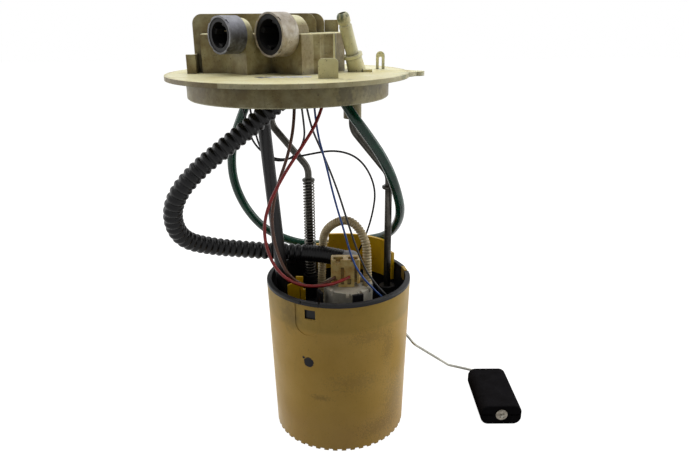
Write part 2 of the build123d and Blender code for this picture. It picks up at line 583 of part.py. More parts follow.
def flange():
    """Whole flange moulding: disc, skirt, tower, socket barrels, spigot and bosses."""
    top = FLANGE_Z + DISC_T
    body = flange_disc() + under_side() + flange_tower(top) + flange_uprights(top) + spigot_body()
    for spec in SOCKETS.values():
        barrel = Cylinder(spec["barrel"], spec["reach"] - RING_LIP)
        barrel = fillet(barrel.edges().sort_by(Axis.Z)[-1], 2.5)
        body += socket_place(spec["x"]) * at(barrel, z=(spec["reach"] + RING_LIP) / 2)
    body -= Pos(0, 0, top) * extrude(offset(tower_plan(), -TOWER_WALL, kind=Kind.INTERSECTION), 12.0)
    for spec in SOCKETS.values():
        depth = spec["reach"] - 2.6
        body -= socket_place(spec["x"]) * at(Cylinder(spec["bore"], depth + 2), z=depth / 2 - 1)
    body -= block(-27, -7, -1.5, 4, FLANGE_Z - 1, top + 1)
    body -= block(-67, -58, 12, 17, FLANGE_Z - 1, top + 1)
    body -= spigot_axis() * at(Cylinder(SPIGOT_BORE_R, 60), z=20)
    for x, y in (LEFT_ROD, RIGHT_ROD):
        body -= rod(ROD_R, FLANGE_Z - BOSS_DROP - 1, ROD_TOP_Z, x - ROD_JOG, y)
    body -= drop_tube_rod(DROP_TUBE_R, 120, FLANGE_Z - 1)
    return body


def connector_ring(name):
    """Locking ring on a socket's barrel, with a notched mouth."""
    spec = SOCKETS[name]
    length = SOCKET_COLLAR_L
    ring = Cylinder(spec["ring"], length) - Cylinder(spec["bore"], length + 2)
    ring -= at(Cylinder(spec["barrel"], length), z=RING_LIP)
    ring -= at(Cylinder(spec["ring"] - RING_FACE, 2.0), z=-length / 2)
    for place in around(4, spec["ring"], 45):
        ring -= place * Pos(0, 0, -length / 2) * Box(1.2, 3.0, 2.4)
    return socket_place(spec["x"]) * at(ring, z=length / 2)


def connector_insert(name):
    """Black insert of a socket: thin cup with four keys and a base for the pins."""
    spec = SOCKETS[name]
    depth, floor = spec["reach"] - 3.0, 4.0
    cup = Cylinder(spec["bore"], depth) - at(Cylinder(spec["pocket"], depth), z=-floor)
    for place in around(4, spec["pocket"] - 0.7, 20):
        cup += place * Pos(0, 0, -1.0) * Box(2.6, 3.2, depth - 6)
    lip = Cylinder(spec["ring"] - RING_FACE - 0.05, 0.58) - Cylinder(spec["pocket"], 2)
    cup += at(lip, z=0.29 - depth / 2)
    return socket_place(spec["x"]) * at(cup, z=depth / 2 + 0.4) - connector_pins(name)


def connector_pins(name):
    """Terminal blades of a socket, standing in its base."""
    spec = SOCKETS[name]
    back = spec["reach"] - 2.65
    blades = at(Box(8.0, 7.0, 0.8), 0, 0.5, back - 0.4)
    for x, y in ((-2.6, -2.2), (2.6, -2.2), (0, 3.2)):
        blades += at(Box(2.4, 0.8, 9.6), x, y, back - 4.8)
    return socket_place(spec["x"]) * blades


def header_plug(box):
    """Plug under the flange that the wires leave, with a stepped foot."""
    x0, x1, y0, y1 = box
    body = block(x0, x1, y0, y1, PLUG_FACE_Z + 2.5, FLANGE_Z - 0.02)
    return body + block(x0 + 1.2, x1 - 1.2, y0 + 1.2, y1 - 1.2, PLUG_FACE_Z, PLUG_FACE_Z + 3)


def supply_elbow():
    """Elbow under the flange that starts the supply hose."""
    x, y, z = SUPPLY_TOP
    cx = x + 6.2
    body = rod(4.6, z, FLANGE_Z - 0.02, cx, y) + Pos(cx, y, z) * Sphere(5.9)
    return body + Pos((cx + x) / 2, y, z) * Rot(0, 90, 0) * Cylinder(5.9, cx - x)


def guide_rod(xy):
    """Joggled guide rod with its pressed bead."""
    x, y = xy
    path = FilletPolyline((x - ROD_JOG, y, ROD_TOP_Z - 0.02), (x - ROD_JOG, y, ROD_JOG_TOP),
                          (x, y, ROD_JOG_BOTTOM), (x, y, ROD_FOOT_Z), radius=13.0)
    wire = sweep(Plane(origin=path @ 0, z_dir=path % 0) * Circle(ROD_R), path=path)
    bead = turned([(0, ROD_BEAD_Z), (ROD_BEAD_R - 0.5, ROD_BEAD_Z), (ROD_BEAD_R, ROD_BEAD_Z + 0.6),
                   (ROD_BEAD_R, ROD_BEAD_Z + ROD_BEAD_H - 0.6), (ROD_BEAD_R - 0.8, ROD_BEAD_Z + ROD_BEAD_H),
                   (0, ROD_BEAD_Z + ROD_BEAD_H)], x, y)
    return wire + bead


def rod_clip(xy):
    """Push-on clip that stops a rod from leaving its bush."""
    x, y = xy
    top = SPRING_SEAT_Z - BUSH_L - 4 - 0.3
    body = tube(5.2, ROD_R, top - 1.0, top, x, y) + tube(3.8, ROD_R, top - 2.4, top, x, y)
    for place in around(3, 5.2):
        body -= Pos(x, y, 0) * place * Pos(0, 0, top) * Box(2.2, 1.6, 3)
    return body


def suspension_spring():
    """Round-wire spring between the bush's shoulder and the rod's bead."""
    x, y = LEFT_ROD
    z0 = SPRING_SEAT_Z + SPRING_WIRE_R + 0.02
    height = ROD_BEAD_Z - SPRING_WIRE_R - 0.02 - z0
    helix = Pos(x, y, z0) * Helix(pitch=height / SPRING_TURNS, height=height, radius=SPRING_R)
    section = Plane(origin=helix @ 0, z_dir=helix % 0) * Circle(SPRING_WIRE_R)
    return sweep(section, path=helix, is_frenet=True)


def drop_tube_rod(radius, z0, z1):
    """Round bar on the leaning axis of the return pipe, cut level at both heights."""
    lean = (DROP_TUBE_TOP[0] - DROP_TUBE[0]) / (FLANGE_Z - DROP_TUBE_END_Z)
    foot = (DROP_TUBE[0] + lean * (z0 - 10 - DROP_TUBE_END_Z), DROP_TUBE[1], z0 - 10)
    axis = Plane(origin=foot, z_dir=(lean, 0, 1)).location
    return (axis * rod(radius, 0, 1.2 * (z1 - z0) + 30)) & block(-90, 0, -20, 20, z0, z1)


def drop_tube():
    """Rigid pipe from the flange that dips into the cup, cut at a slant."""
    body = drop_tube_rod(DROP_TUBE_R, DROP_TUBE_END_Z, FLANGE_Z - 1.02)
    body -= drop_tube_rod(DROP_TUBE_R - 1.0, DROP_TUBE_END_Z - 5, FLANGE_Z + 5)
    return body - Pos(*DROP_TUBE, DROP_TUBE_END_Z - 2) * Rot(0, 35, 0) * Box(30, 20, 6)


# level sender

def sender_housing():
    """Sender body on the back of the cup, hollowed to the sleeve's taper, with the pivot pin."""
    px, pz = PIVOT
    body = block(0, 42, 38, SENDER_Y, 34, 92)
    body -= turned([(0, 20), (cup_r(20) + 0.06, 20), (cup_r(100) + 0.06, 100), (0, 100)])
    body = fillet(body.edges().filter_by(Axis.Y), 3.0)
    body -= block(5, 37, SENDER_Y - 2, SENDER_Y + 1, 58, 84) - along_y(3.6, 40, 70, px, pz)
    body += along_y(3.6, SENDER_Y - 2, SENDER_Y + 0.4, px, pz)
    body += along_y(2.5, SENDER_Y - 2, SENDER_Y + 9.2, px, pz)
    for z in (40, 88.5):
        body -= along_y(1.6, SENDER_Y - 5, SENDER_Y + 5, 21, z)
    return body


def resistor_card():
    """Ceramic card under the wiper."""
    return block(5.5, 36.5, SENDER_Y - 1.98, SENDER_Y - 1.2, 67.0, 83.5)


def arm_hub():
    """Hub on the pivot pin, with a clip channel that holds the arm."""
    px, pz = PIVOT
    body = along_y(6.6, SENDER_Y + 0.6, SENDER_Y + 8.4, px, pz)
    channel = Pos(px, 0, pz) * Rot(0, ARM_DIP, 0) * block(0, 14, ARM_Y - 3.1, ARM_Y + 3.3, -3.0, 3.0)
    body += channel
    body -= along_y(2.5 + RUN_FIT, 40, 70, px, pz)
    return body - arm_path_solid(ARM_R)


def arm_points():
    """Corner points of the arm, from the hub to the far side of the float."""
    px, pz = PIVOT
    dip = math.radians(ARM_DIP)
    start = (px + 5.5 * math.cos(dip), ARM_Y, pz - 5.5 * math.sin(dip))
    return [start, (50.0, ARM_Y, pz - 30.0 * math.tan(dip)), (60.0, 36.5, 36.0), (88.6, 36.5, 16.6),
            (FLOAT_X, 36.5, FLOAT_AXIS_Z), (FLOAT_X, FLOAT_Y - FLOAT_L / 2 - 2.4, FLOAT_AXIS_Z)]


def arm_path_solid(radius):
    """The arm as a swept wire of the given radius."""
    path = FilletPolyline(*arm_points(), radius=[5.0, 5.0, 5.0, 4.0])
    return sweep(Plane(origin=path @ 0, z_dir=path % 0) * Circle(radius), path=path)


def arm_wire():
    """Bent steel arm."""
    return arm_path_solid(ARM_R)


def wiper():
    """Sprung contact strip on the hub that sweeps the card."""
    px, pz = PIVOT
    y = SENDER_Y
    strip = block(3.7, 18.0, y - 0.7, y - 0.3, -1.6, 1.6) + block(16.0, 18.0, y - 1.14, y - 0.3, -1.6, 1.6)
    strip += block(3.7, 6.2, y - 0.7, y + 0.58, -1.6, 1.6)
    return Pos(px, 0, pz) * Rot(0, -50, 0) * strip


def float_body():
    """Float: rounded block with a groove across its front face and a cross bore for the arm."""
    section = RectangleRounded(FLOAT_W, FLOAT_H, 6.0)
    y0 = FLOAT_Y - FLOAT_L / 2
    body = Pos(FLOAT_X, y0, FLOAT_Z) * extrude(Plane.XZ * section, -FLOAT_L)
    ends = body.faces().filter_by(Axis.Y)
    body = fillet(ends.edges(), 1.2)
    body -= block(FLOAT_X - 16, FLOAT_X - 6.5, y0 - 1, y0 + 1.2, 7.4, 8.8)
    body -= block(FLOAT_X + 6.5, FLOAT_X + 16, y0 - 1, y0 + 1.2, 7.4, 8.8)
    return body - along_y(ARM_R + 0.09, y0 - 2, y0 + FLOAT_L + 2, FLOAT_X, FLOAT_AXIS_Z)


def float_cap():
    """Domed push-on fastener with four small holes at the end of the arm."""
    y1 = FLOAT_Y - FLOAT_L / 2 - 0.25
    face = [(0, 0), (CAP_DISC_R, 0), (CAP_DISC_R, 0.5), (CAP_DISC_R - 1.2, 1.1), (2.6, 1.3), (0, 1.3)]
    body = revolve(make_face(Plane.XZ * Polyline(*face, close=True)), axis=Axis.Z)
    body -= rod(ARM_R, -1, 3)
    for place in around(4, 1.9, 45):
        body -= place * Cylinder(0.42, 6)
    return Pos(FLOAT_X, y1, FLOAT_AXIS_Z) * Rot(90, 0, 0) * body


def sender_plug():
    """Small plug in the tray that takes the sender's wires."""
    body = block(29, 38, -25, -18, TRAY_Z + TRAY_T + 0.02, 104)
    return body - block(31, 36, -26, -24.2, 90, 100)


# hoses and wires

def bend_radii(points):
    """Largest tangent arcs that the runs on each side allow."""
    radii = []
    for a, b, c in zip(points, points[1:], points[2:]):
        before = Vector(*b) - Vector(*a)
        after = Vector(*c) - Vector(*b)
        turn = math.radians(before.get_angle(after))
        radii.append(0.45 * min(before.length, after.length) / math.tan(turn / 2))
    return radii


# Way that each cord's two ends face, into their fittings
UP, DOWN, RIGHT, BACK = (0, 0, 1), (0, 0, -1), (1, 0, 0), (0, 1, 0)
END_WAYS = {
    "supply_hose": (RIGHT, RIGHT), "return_hose": (UP, UP), "power_wire_red": (UP, BACK),
    "power_wire_brown": (UP, BACK), "signal_wire_blue": (UP, DOWN), "signal_wire_black": (UP, DOWN),
    "sender_lead": (UP, DOWN), "bridge_lead": (UP, UP), "jet_feed_tube": (DOWN, DOWN),
}


def end_cut(point, way, radius):
    """Block that trims a cord's end flush with the face it meets."""
    return Plane(origin=point, z_dir=way).location * at(Box(6 * radius, 6 * radius, 4 * radius), z=2 * radius)


def cord(name):
    """A hose or wire along its route, trimmed at its fittings; prints its length, radii and volume."""
    radius, points = ROUTES[name]
    radii = bend_radii(points)
    path = FilletPolyline(*points, radius=radii)
    solid = sweep(Plane(origin=path @ 0, z_dir=path % 0) * Circle(radius), path=path)
    expected = math.pi * radius ** 2 * path.length
    in_diameters = [round(r / (2 * radius), 1) for r in radii]
    print(f"{name}: length {path.length:.0f} mm, volume / expected {solid.volume / expected:.3f},"
          f" radii in diameters {in_diameters}")
    for point, way in zip((points[0], points[-1]), END_WAYS[name]):
        solid -= end_cut(point, way, radius)
    return solid


SUB_PARTS = {
    "reservoir_sleeve": reservoir_sleeve,
    "reservoir_cup": reservoir_cup,
    "carrier_tray": carrier_tray,
    "inlet_valve": inlet_valve,
    "valve_cage": valve_cage,
    "jet_pump": jet_pump,
    "sender_carrier": sender_carrier,
    "hose_clip": hose_clip,
    "guide_bush_left": lambda: guide_bush(LEFT_ROD),
    "guide_bush_right": lambda: guide_bush(RIGHT_ROD),
    "isolator_ring": isolator_ring,
    "inlet_strainer": inlet_strainer,
    "pump_case": pump_case,
    "pump_inlet_cover": pump_inlet_cover,
    "impeller_housing": impeller_housing,
    "pump_impeller": pump_impeller,
    "pump_shaft": pump_shaft,
    "pump_armature": pump_armature,
    "pump_commutator": pump_commutator,
    "pump_magnet_left": lambda: pump_magnet(180),
    "pump_magnet_right": lambda: pump_magnet(0),
    "pump_brush_left": lambda: pump_brush(-1),
    "pump_brush_right": lambda: pump_brush(1),
    "pump_outlet_cap": pump_outlet_cap,
    "pump_plug": pump_plug,
    "hose_elbow": hose_elbow,
    "sender_plug": sender_plug,
    "sender_housing": sender_housing,
    "resistor_card": resistor_card,
    "arm_hub": arm_hub,
    "wiper": wiper,
    "arm_wire": arm_wire,
    "float_body": float_body,
    "float_cap": float_cap,
    "flange": flange,
    "connector_ring_left": lambda: connector_ring("left"),
    "connector_ring_right": lambda: connector_ring("right"),
    "connector_insert_left": lambda: connector_insert("left"),
    "connector_insert_right": lambda: connector_insert("right"),
    "connector_pins_left": lambda: connector_pins("left"),
    "connector_pins_right": lambda: connector_pins("right"),
    "header_plug_right": lambda: header_plug((-29, -5, -12, 5)),
    "header_plug_left": lambda: header_plug((-69, -56, 9, 24)),
    "supply_elbow": supply_elbow,
    "guide_rod_left": lambda: guide_rod(LEFT_ROD),
    "guide_rod_right": lambda: guide_rod(RIGHT_ROD),
    "rod_clip_left": lambda: rod_clip(LEFT_ROD),
    "rod_clip_right": lambda: rod_clip(RIGHT_ROD),
    "suspension_spring": suspension_spring,
    "drop_tube": drop_tube,
}


def main():
    """Build every sub-part and write it to the parts folder."""
    for name, build in SUB_PARTS.items():
        export_step(build(), f"parts/{name}.step")
    for name in ROUTES:
        export_step(cord(name), f"parts/{name}.step")


main()
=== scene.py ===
"""Looks of the in-tank fuel pump module: hoses, wires, small fittings, finishes, light and camera.

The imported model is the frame. Lengths in the classes are in millimetres, unless a class says
otherwise, and become metres where a mesh or a node is made. The cup stands on the origin, +Z is up
and the float is on the +X side.
"""

from __future__ import annotations

import json
import logging
import math
from dataclasses import dataclass, field
from enum import Enum
from typing import Callable

import bmesh
import bpy
from mathutils import Matrix, Vector

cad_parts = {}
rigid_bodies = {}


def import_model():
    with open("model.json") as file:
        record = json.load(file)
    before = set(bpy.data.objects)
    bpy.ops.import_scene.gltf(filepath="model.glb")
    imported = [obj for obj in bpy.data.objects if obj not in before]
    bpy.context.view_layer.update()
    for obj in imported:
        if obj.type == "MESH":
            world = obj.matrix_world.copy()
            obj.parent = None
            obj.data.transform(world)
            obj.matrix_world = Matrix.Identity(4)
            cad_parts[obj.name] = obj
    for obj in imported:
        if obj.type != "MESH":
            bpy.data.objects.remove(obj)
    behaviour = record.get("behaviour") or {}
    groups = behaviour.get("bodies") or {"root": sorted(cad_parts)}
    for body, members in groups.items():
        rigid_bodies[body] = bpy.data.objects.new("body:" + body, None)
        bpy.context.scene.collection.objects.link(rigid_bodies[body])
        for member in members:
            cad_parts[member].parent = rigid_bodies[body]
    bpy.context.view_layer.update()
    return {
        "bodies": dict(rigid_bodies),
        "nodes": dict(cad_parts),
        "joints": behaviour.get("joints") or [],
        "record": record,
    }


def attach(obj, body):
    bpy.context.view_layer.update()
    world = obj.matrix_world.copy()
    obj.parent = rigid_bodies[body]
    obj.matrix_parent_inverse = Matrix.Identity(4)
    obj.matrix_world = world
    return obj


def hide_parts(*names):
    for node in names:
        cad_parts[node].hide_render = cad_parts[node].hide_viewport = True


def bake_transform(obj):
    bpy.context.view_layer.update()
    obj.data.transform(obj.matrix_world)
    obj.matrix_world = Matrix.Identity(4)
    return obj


LOG = logging.getLogger("fuel_pump_module")
MM = 0.001
# between which a noise's values mostly lie
USUAL = (0.3, 0.7)
Point = tuple[float, float, float]
Tree = bpy.types.NodeTree
Node = bpy.types.Node
Socket = bpy.types.NodeSocket


def linear(code: str, alpha: float = 1.0) -> tuple[float, float, float, float]:
    """Turns an sRGB hex colour into the linear colour that a shader wants.

    Args:
        code: six hex digits, such as "8FA0B1".
        alpha: the fourth number.

    Returns:
        Linear red, green, blue and alpha.
    """
    values = []
    for start in (0, 2, 4):
        share = int(code[start:start + 2], 16) / 255
        values.append(share / 12.92 if share <= 0.04045 else ((share + 0.055) / 1.055) ** 2.4)
    return values[0], values[1], values[2], alpha


def add_node(tree: Tree, kind: str, inputs: dict | None = None, **settings: object) -> Node:
    """Adds a node, with its settings, its constants and its links.

    A range node's inputs are 0 for the value, 1 and 2 for the range it comes in, and 3 and 4 for
    what that becomes. A colour mix has 0 for the factor, 6 for the colour below and 7 for the one above.

    Args:
        tree: the material's or world's node tree.
        kind: Blender's name of the node.
        inputs: by input name or number, either a value or the socket to link from.
        **settings: the node's own settings.

    Returns:
        The new node.
    """
    node = tree.nodes.new(kind)
    for key, value in settings.items():
        setattr(node, key, value)
    for key, value in (inputs or {}).items():
        if isinstance(value, Socket):
            tree.links.new(value, node.inputs[key])
        else:
            node.inputs[key].default_value = value
    return node


# finishes


@dataclass(frozen=True)
class Mark:
    """A local mark on a surface: ink, paint or a dirty patch.

    The mark is a ball of space round a point, stretched along the axes. Its edge is made ragged by
    noise of the given size, of which the values in the range `noise` count.
    """

    at: Point
    radius: float
    colour: str
    strength: float = 1.0
    blur: float = 0.15
    ragged: float = 0.25
    ragged_mm: float = 1.5
    stretch: Point = (1.0, 1.0, 1.0)
    noise: tuple[float, float] = (0.25, 0.75)

    def share(self, tree: Tree, place: Socket) -> Socket:
        """Finds how much of the mark shows at each point.

        Args:
            tree: the node tree.
            place: object coordinates.

        Returns:
            A socket from 0 to the mark's strength.
        """
        middle = tuple(v * MM for v in self.at)
        away = add_node(tree, "ShaderNodeVectorMath", {0: place, 1: middle}, operation="SUBTRACT")
        sizes = tuple(1 / (s * self.radius * MM) for s in self.stretch)
        scaled = add_node(tree, "ShaderNodeVectorMath", {0: away.outputs[0], 1: sizes},
                          operation="MULTIPLY")
        length = add_node(tree, "ShaderNodeVectorMath", {0: scaled.outputs[0]}, operation="LENGTH")
        wobble = add_node(tree, "ShaderNodeTexNoise", {
            "Vector": place, "Scale": 1000 / self.ragged_mm, "Detail": 3.0})
        shift = add_node(tree, "ShaderNodeMapRange", {
            0: wobble.outputs["Fac"], 1: self.noise[0], 2: self.noise[1], 3: -self.ragged, 4: self.ragged})
        edge = add_node(tree, "ShaderNodeMath", {0: length.outputs["Value"], 1: shift.outputs[0]},
                        operation="ADD")
        mask = add_node(tree, "ShaderNodeMapRange", {
            0: edge.outputs[0], 1: 1 - self.blur, 2: 1 + self.blur, 3: self.strength, 4: 0.0})
        return mask.outputs[0]


@dataclass(frozen=True)
class Band:
    """A zone along one axis where the surface takes another colour, fading in over its ends.

    The axis "R" is the distance from the upright line through `centre`. In the thin spots of its
    patches the colour keeps the share `thin`.
    """

    axis: str
    low: float
    high: float
    colour: str
    strength: float = 0.5
    fade: float = 3.0
    patchy_mm: float = 9.0
    centre: tuple[float, float] = (0.0, 0.0)
    thin: float = 0.25
    noise: tuple[float, float] = (0.3, 0.62)

    def along(self, tree: Tree, place: Socket) -> Socket:
        """Reads the coordinate that the band runs along.

        Args:
            tree: the node tree.
            place: object coordinates.

        Returns:
            The coordinate in metres.
        """
        if self.axis != "R":
            return add_node(tree, "ShaderNodeSeparateXYZ", {0: place}).outputs[self.axis]
        middle = (self.centre[0] * MM, self.centre[1] * MM, 0.0)
        away = add_node(tree, "ShaderNodeVectorMath", {0: place, 1: middle}, operation="SUBTRACT")
        level = add_node(tree, "ShaderNodeVectorMath", {0: away.outputs[0], 1: (1.0, 1.0, 0.0)},
                         operation="MULTIPLY")
        length = add_node(tree, "ShaderNodeVectorMath", {0: level.outputs[0]}, operation="LENGTH")
        return length.outputs["Value"]

    def share(self, tree: Tree, place: Socket) -> Socket:
        """Finds how much of the band shows at each point.

        Args:
            tree: the node tree.
            place: object coordinates.

        Returns:
            A socket from 0 to the band's strength.
        """
        along = self.along(tree, place)
        rise = add_node(tree, "ShaderNodeMapRange", {
            0: along, 1: (self.low - self.fade) * MM, 2: (self.low + self.fade) * MM, 3: 0.0, 4: 1.0})
        fall = add_node(tree, "ShaderNodeMapRange", {
            0: along, 1: (self.high - self.fade) * MM, 2: (self.high + self.fade) * MM, 3: 1.0, 4: 0.0})
        both = add_node(tree, "ShaderNodeMath", {0: rise.outputs[0], 1: fall.outputs[0]},
                        operation="MULTIPLY")
        patch = add_node(tree, "ShaderNodeTexNoise", {
            "Vector": place, "Scale": 1000 / self.patchy_mm, "Detail": 5.0, "Roughness": 0.65})
        spread = add_node(tree, "ShaderNodeMapRange", {
            0: patch.outputs["Fac"], 1: self.noise[0], 2: self.noise[1],
            3: self.thin * self.strength, 4: self.strength})
        whole = add_node(tree, "ShaderNodeMath", {0: both.outputs[0], 1: spread.outputs[0]},
                         operation="MULTIPLY")
        return whole.outputs[0]


@dataclass(frozen=True)
class UprightShade:
    """Painted shade of the upright faces, laid on in brown patches.

    Above the level `clear_above` it stays where x - y is under `beyond`, in millimetres, which leaves the
    spigot and the front clip unshaded. A face counts as upright while the height of its normal is low in
    the range `steep`.
    """

    colour: str
    strength: float = 0.8
    clear_above: float = 249.9
    beyond: float = 7.2
    patchy_mm: float = 13.0
    steep: tuple[float, float] = (0.45, 0.8)
    thin: float = 0.55
    noise: tuple[float, float] = (0.32, 0.6)

    def where(self, tree: Tree, place: Socket) -> Socket:
        """Finds the parts of the moulding that the painted shade reaches.

        Args:
            tree: the node tree.
            place: object coordinates.

        Returns:
            A socket that is 1 in those parts.
        """
        axes = add_node(tree, "ShaderNodeSeparateXYZ", {0: place}).outputs
        across = add_node(tree, "ShaderNodeMath", {0: axes["X"], 1: axes["Y"]}, operation="SUBTRACT")
        inside = add_node(tree, "ShaderNodeMath", {0: across.outputs[0], 1: self.beyond * MM},
                          operation="LESS_THAN")
        low = add_node(tree, "ShaderNodeMath", {0: axes["Z"], 1: self.clear_above * MM},
                       operation="LESS_THAN")
        either = add_node(tree, "ShaderNodeMath", {0: inside.outputs[0], 1: low.outputs[0]},
                          operation="MAXIMUM")
        return either.outputs[0]

    def share(self, tree: Tree, place: Socket) -> Socket:
        """Finds how much of the painted shade shows at each point.

        Args:
            tree: the node tree.
            place: object coordinates.

        Returns:
            A socket from 0 to the strength of the painted shade.
        """
        # upright faces, which get less light from above, take the painted shade
        normal = add_node(tree, "ShaderNodeNewGeometry").outputs["Normal"]
        facing = add_node(tree, "ShaderNodeSeparateXYZ", {0: normal}).outputs["Z"]
        height = add_node(tree, "ShaderNodeMath", {0: facing}, operation="ABSOLUTE")
        upright = add_node(tree, "ShaderNodeMapRange", {
            0: height.outputs[0], 1: self.steep[0], 2: self.steep[1], 3: 1.0, 4: 0.0})
        patch = add_node(tree, "ShaderNodeTexNoise", {
            "Vector": place, "Scale": 1000 / self.patchy_mm, "Detail": 5.0, "Roughness": 0.65})
        spread = add_node(tree, "ShaderNodeMapRange", {
            0: patch.outputs["Fac"], 1: self.noise[0], 2: self.noise[1],
            3: self.thin * self.strength, 4: self.strength})
        there = add_node(tree, "ShaderNodeMath", {0: upright.outputs[0], 1: self.where(tree, place)},
                         operation="MULTIPLY")
        whole = add_node(tree, "ShaderNodeMath", {0: there.outputs[0], 1: spread.outputs[0]},
                         operation="MULTIPLY")
        return whole.outputs[0]


@dataclass(frozen=True)
class Finish:
    """What every finish has: the name of its real material."""

    name: str

    def start(self) -> tuple[bpy.types.Material, Tree, Node, Socket]:
        """Makes an empty material with a shader.

        Returns:
            The material, its tree, its shader, and object coordinates in metres.
        """
        material = bpy.data.materials.new(self.name)
        material.use_nodes = True
        tree = material.node_tree
        tree.nodes.clear()
        shader = add_node(tree, "ShaderNodeBsdfPrincipled")
        add_node(tree, "ShaderNodeOutputMaterial", {"Surface": shader.outputs["BSDF"]})
        place = add_node(tree, "ShaderNodeTexCoord").outputs["Object"]
        return material, tree, shader, place

    def build(self) -> bpy.types.Material:
        """Makes the material."""
        return self.start()[0]


@dataclass(frozen=True)
class Moulding(Finish):
    """An injection moulding with mottling, stains, specks, painted shade in its corners and fine grain.

    Of each pattern, the pair of numbers says between which of its values the colour fades in.
    """

    base: str = "808080"
    stain: str = "606060"
    # colour of the smeared and specked grime, and also of the painted shade in the corners
    grime_and_shade: str = "2A241B"
    staining: float = 0.5
    mottle_mm: float = 14.0
    patches: tuple[float, float] = (0.38, 0.66)
    smear: float = 0.0
    streak_mm: float = 4.762
    streaks: tuple[float, float] = (0.56, 0.74)
    specks: float = 0.3
    speck_mm: float = 0.9
    dots: tuple[float, float] = (0.66, 0.74)
    # painted shade in the corners, found by ambient occlusion
    corner_shade: float = 0.5
    corner_shade_mm: float = 5.0
    corners: tuple[float, float] = (1.35, 0.7)
    grain_mm: float = 0.35
    grain: float = 0.12
    grain_deep_mm: float = 0.25
    edge_mm: float = 0.0
    roughness: float = 0.5
    duller: tuple[float, float] = (-0.07, 0.09)
    specular: float = 0.5
    coat: float = 0.0
    glow: float = 0.0
    glow_mm: Point = (4.0, 3.0, 1.5)
    bands: tuple[Band, ...] = ()
    marks: tuple[Mark, ...] = ()
    # brown painted shade on the upright faces
    upright_shade: UprightShade | None = None

    def build(self) -> bpy.types.Material:
        """Makes the material.

        Returns:
            The finished material.
        """
        material, tree, shader, place = self.start()
        slow = add_node(tree, "ShaderNodeTexNoise", {
            "Vector": place, "Scale": 1000 / self.mottle_mm, "Detail": 4.0, "Roughness": 0.6})
        mottle = slow.outputs["Fac"]
        colour = linear(self.base)
        for share, above in self.layers(tree, place, mottle):
            mix = add_node(tree, "ShaderNodeMix", {0: share, 6: colour, 7: linear(above)},
                           data_type="RGBA", blend_type="MIX")
            colour = mix.outputs[2]
        tree.links.new(colour, shader.inputs["Base Color"])
        self.skin(tree, shader, place, mottle)
        shader.inputs["Specular IOR Level"].default_value = self.specular
        shader.inputs["Coat Weight"].default_value = self.coat
        if self.glow > 0:
            shader.inputs["Subsurface Weight"].default_value = self.glow
            shader.inputs["Subsurface Radius"].default_value = tuple(v * MM for v in self.glow_mm)
            shader.inputs["Subsurface Scale"].default_value = 1.0
        return material

    def layers(self, tree: Tree, place: Socket, mottle: Socket) -> list[tuple[Socket, str]]:
        """Lists what lies on the base colour, from the bottom up.

        Args:
            tree: the node tree.
            place: object coordinates.
            mottle: the slow noise of the mottling.

        Returns:
            Pairs of a share from 0 to 1 and the hex colour that it lays on.
        """
        spread = add_node(tree, "ShaderNodeMapRange", {
            0: mottle, 1: self.patches[0], 2: self.patches[1], 3: 0.0, 4: self.staining})
        found = [(spread.outputs[0], self.stain)]
        found += [(band.share(tree, place), band.colour) for band in self.bands]
        # painted shade on the upright faces, in its own brown
        if self.upright_shade:
            found.append((self.upright_shade.share(tree, place), self.upright_shade.colour))
        if self.smear > 0:
            found.append((self.smears(tree, place), self.grime_and_shade))
        if self.specks > 0:
            found.append((self.dirt(tree, place), self.grime_and_shade))
        # painted shade in the corners, in the grime colour
        if self.corner_shade > 0:
            found.append((self.corner_shading(tree, mottle), self.grime_and_shade))
        found += [(mark.share(tree, place), mark.colour) for mark in self.marks]
        return found

    def smears(self, tree: Tree, place: Socket) -> Socket:
        """Finds the wiped streaks of grime, drawn out along a slanting line.

        Args:
            tree: the node tree.
            place: object coordinates.

        Returns:
            A socket from 0 to the smear's strength.
        """
        runs = add_node(tree, "ShaderNodeMapping", {
            "Vector": place, "Scale": (1.0, 1.0, 0.25), "Rotation": (0.3, 0.5, 0.4)})
        streak = add_node(tree, "ShaderNodeTexNoise", {
            "Vector": runs.outputs[0], "Scale": 1000 / self.streak_mm, "Detail": 6.0, "Roughness": 0.72,
            "Distortion": 0.8})
        mask = add_node(tree, "ShaderNodeMapRange", {
            0: streak.outputs["Fac"], 1: self.streaks[0], 2: self.streaks[1], 3: 0.0, 4: self.smear})
        return mask.outputs[0]

    def dirt(self, tree: Tree, place: Socket) -> Socket:
        """Finds the small specks of grime.

        Args:
            tree: the node tree.
            place: object coordinates.

        Returns:
            A socket from 0 to the specks' strength.
        """
        speck = add_node(tree, "ShaderNodeTexNoise", {
            "Vector": place, "Scale": 1000 / self.speck_mm, "Detail": 2.0, "Roughness": 0.5})
        mask = add_node(tree, "ShaderNodeMapRange", {
            0: speck.outputs["Fac"], 1: self.dots[0], 2: self.dots[1], 3: 0.0, 4: self.specks})
        return mask.outputs[0]

    def corner_shading(self, tree: Tree, mottle: Socket) -> Socket:
        """Finds the corners to darken as painted shade, by ambient occlusion broken up by the mottling.

        Args:
            tree: the node tree.
            mottle: the slow noise of the mottling.

        Returns:
            A socket from 0 to the strength of the corner shade.
        """
        # ambient occlusion: the corners where shade falls are painted darker
        corner = add_node(tree, "ShaderNodeAmbientOcclusion", {"Distance": self.corner_shade_mm * MM},
                          samples=6, only_local=True)
        rough = add_node(tree, "ShaderNodeMath", {0: corner.outputs["AO"], 1: mottle}, operation="ADD")
        mask = add_node(tree, "ShaderNodeMapRange", {
            0: rough.outputs[0], 1: self.corners[0], 2: self.corners[1], 3: 0.0, 4: self.corner_shade})
        return mask.outputs[0]

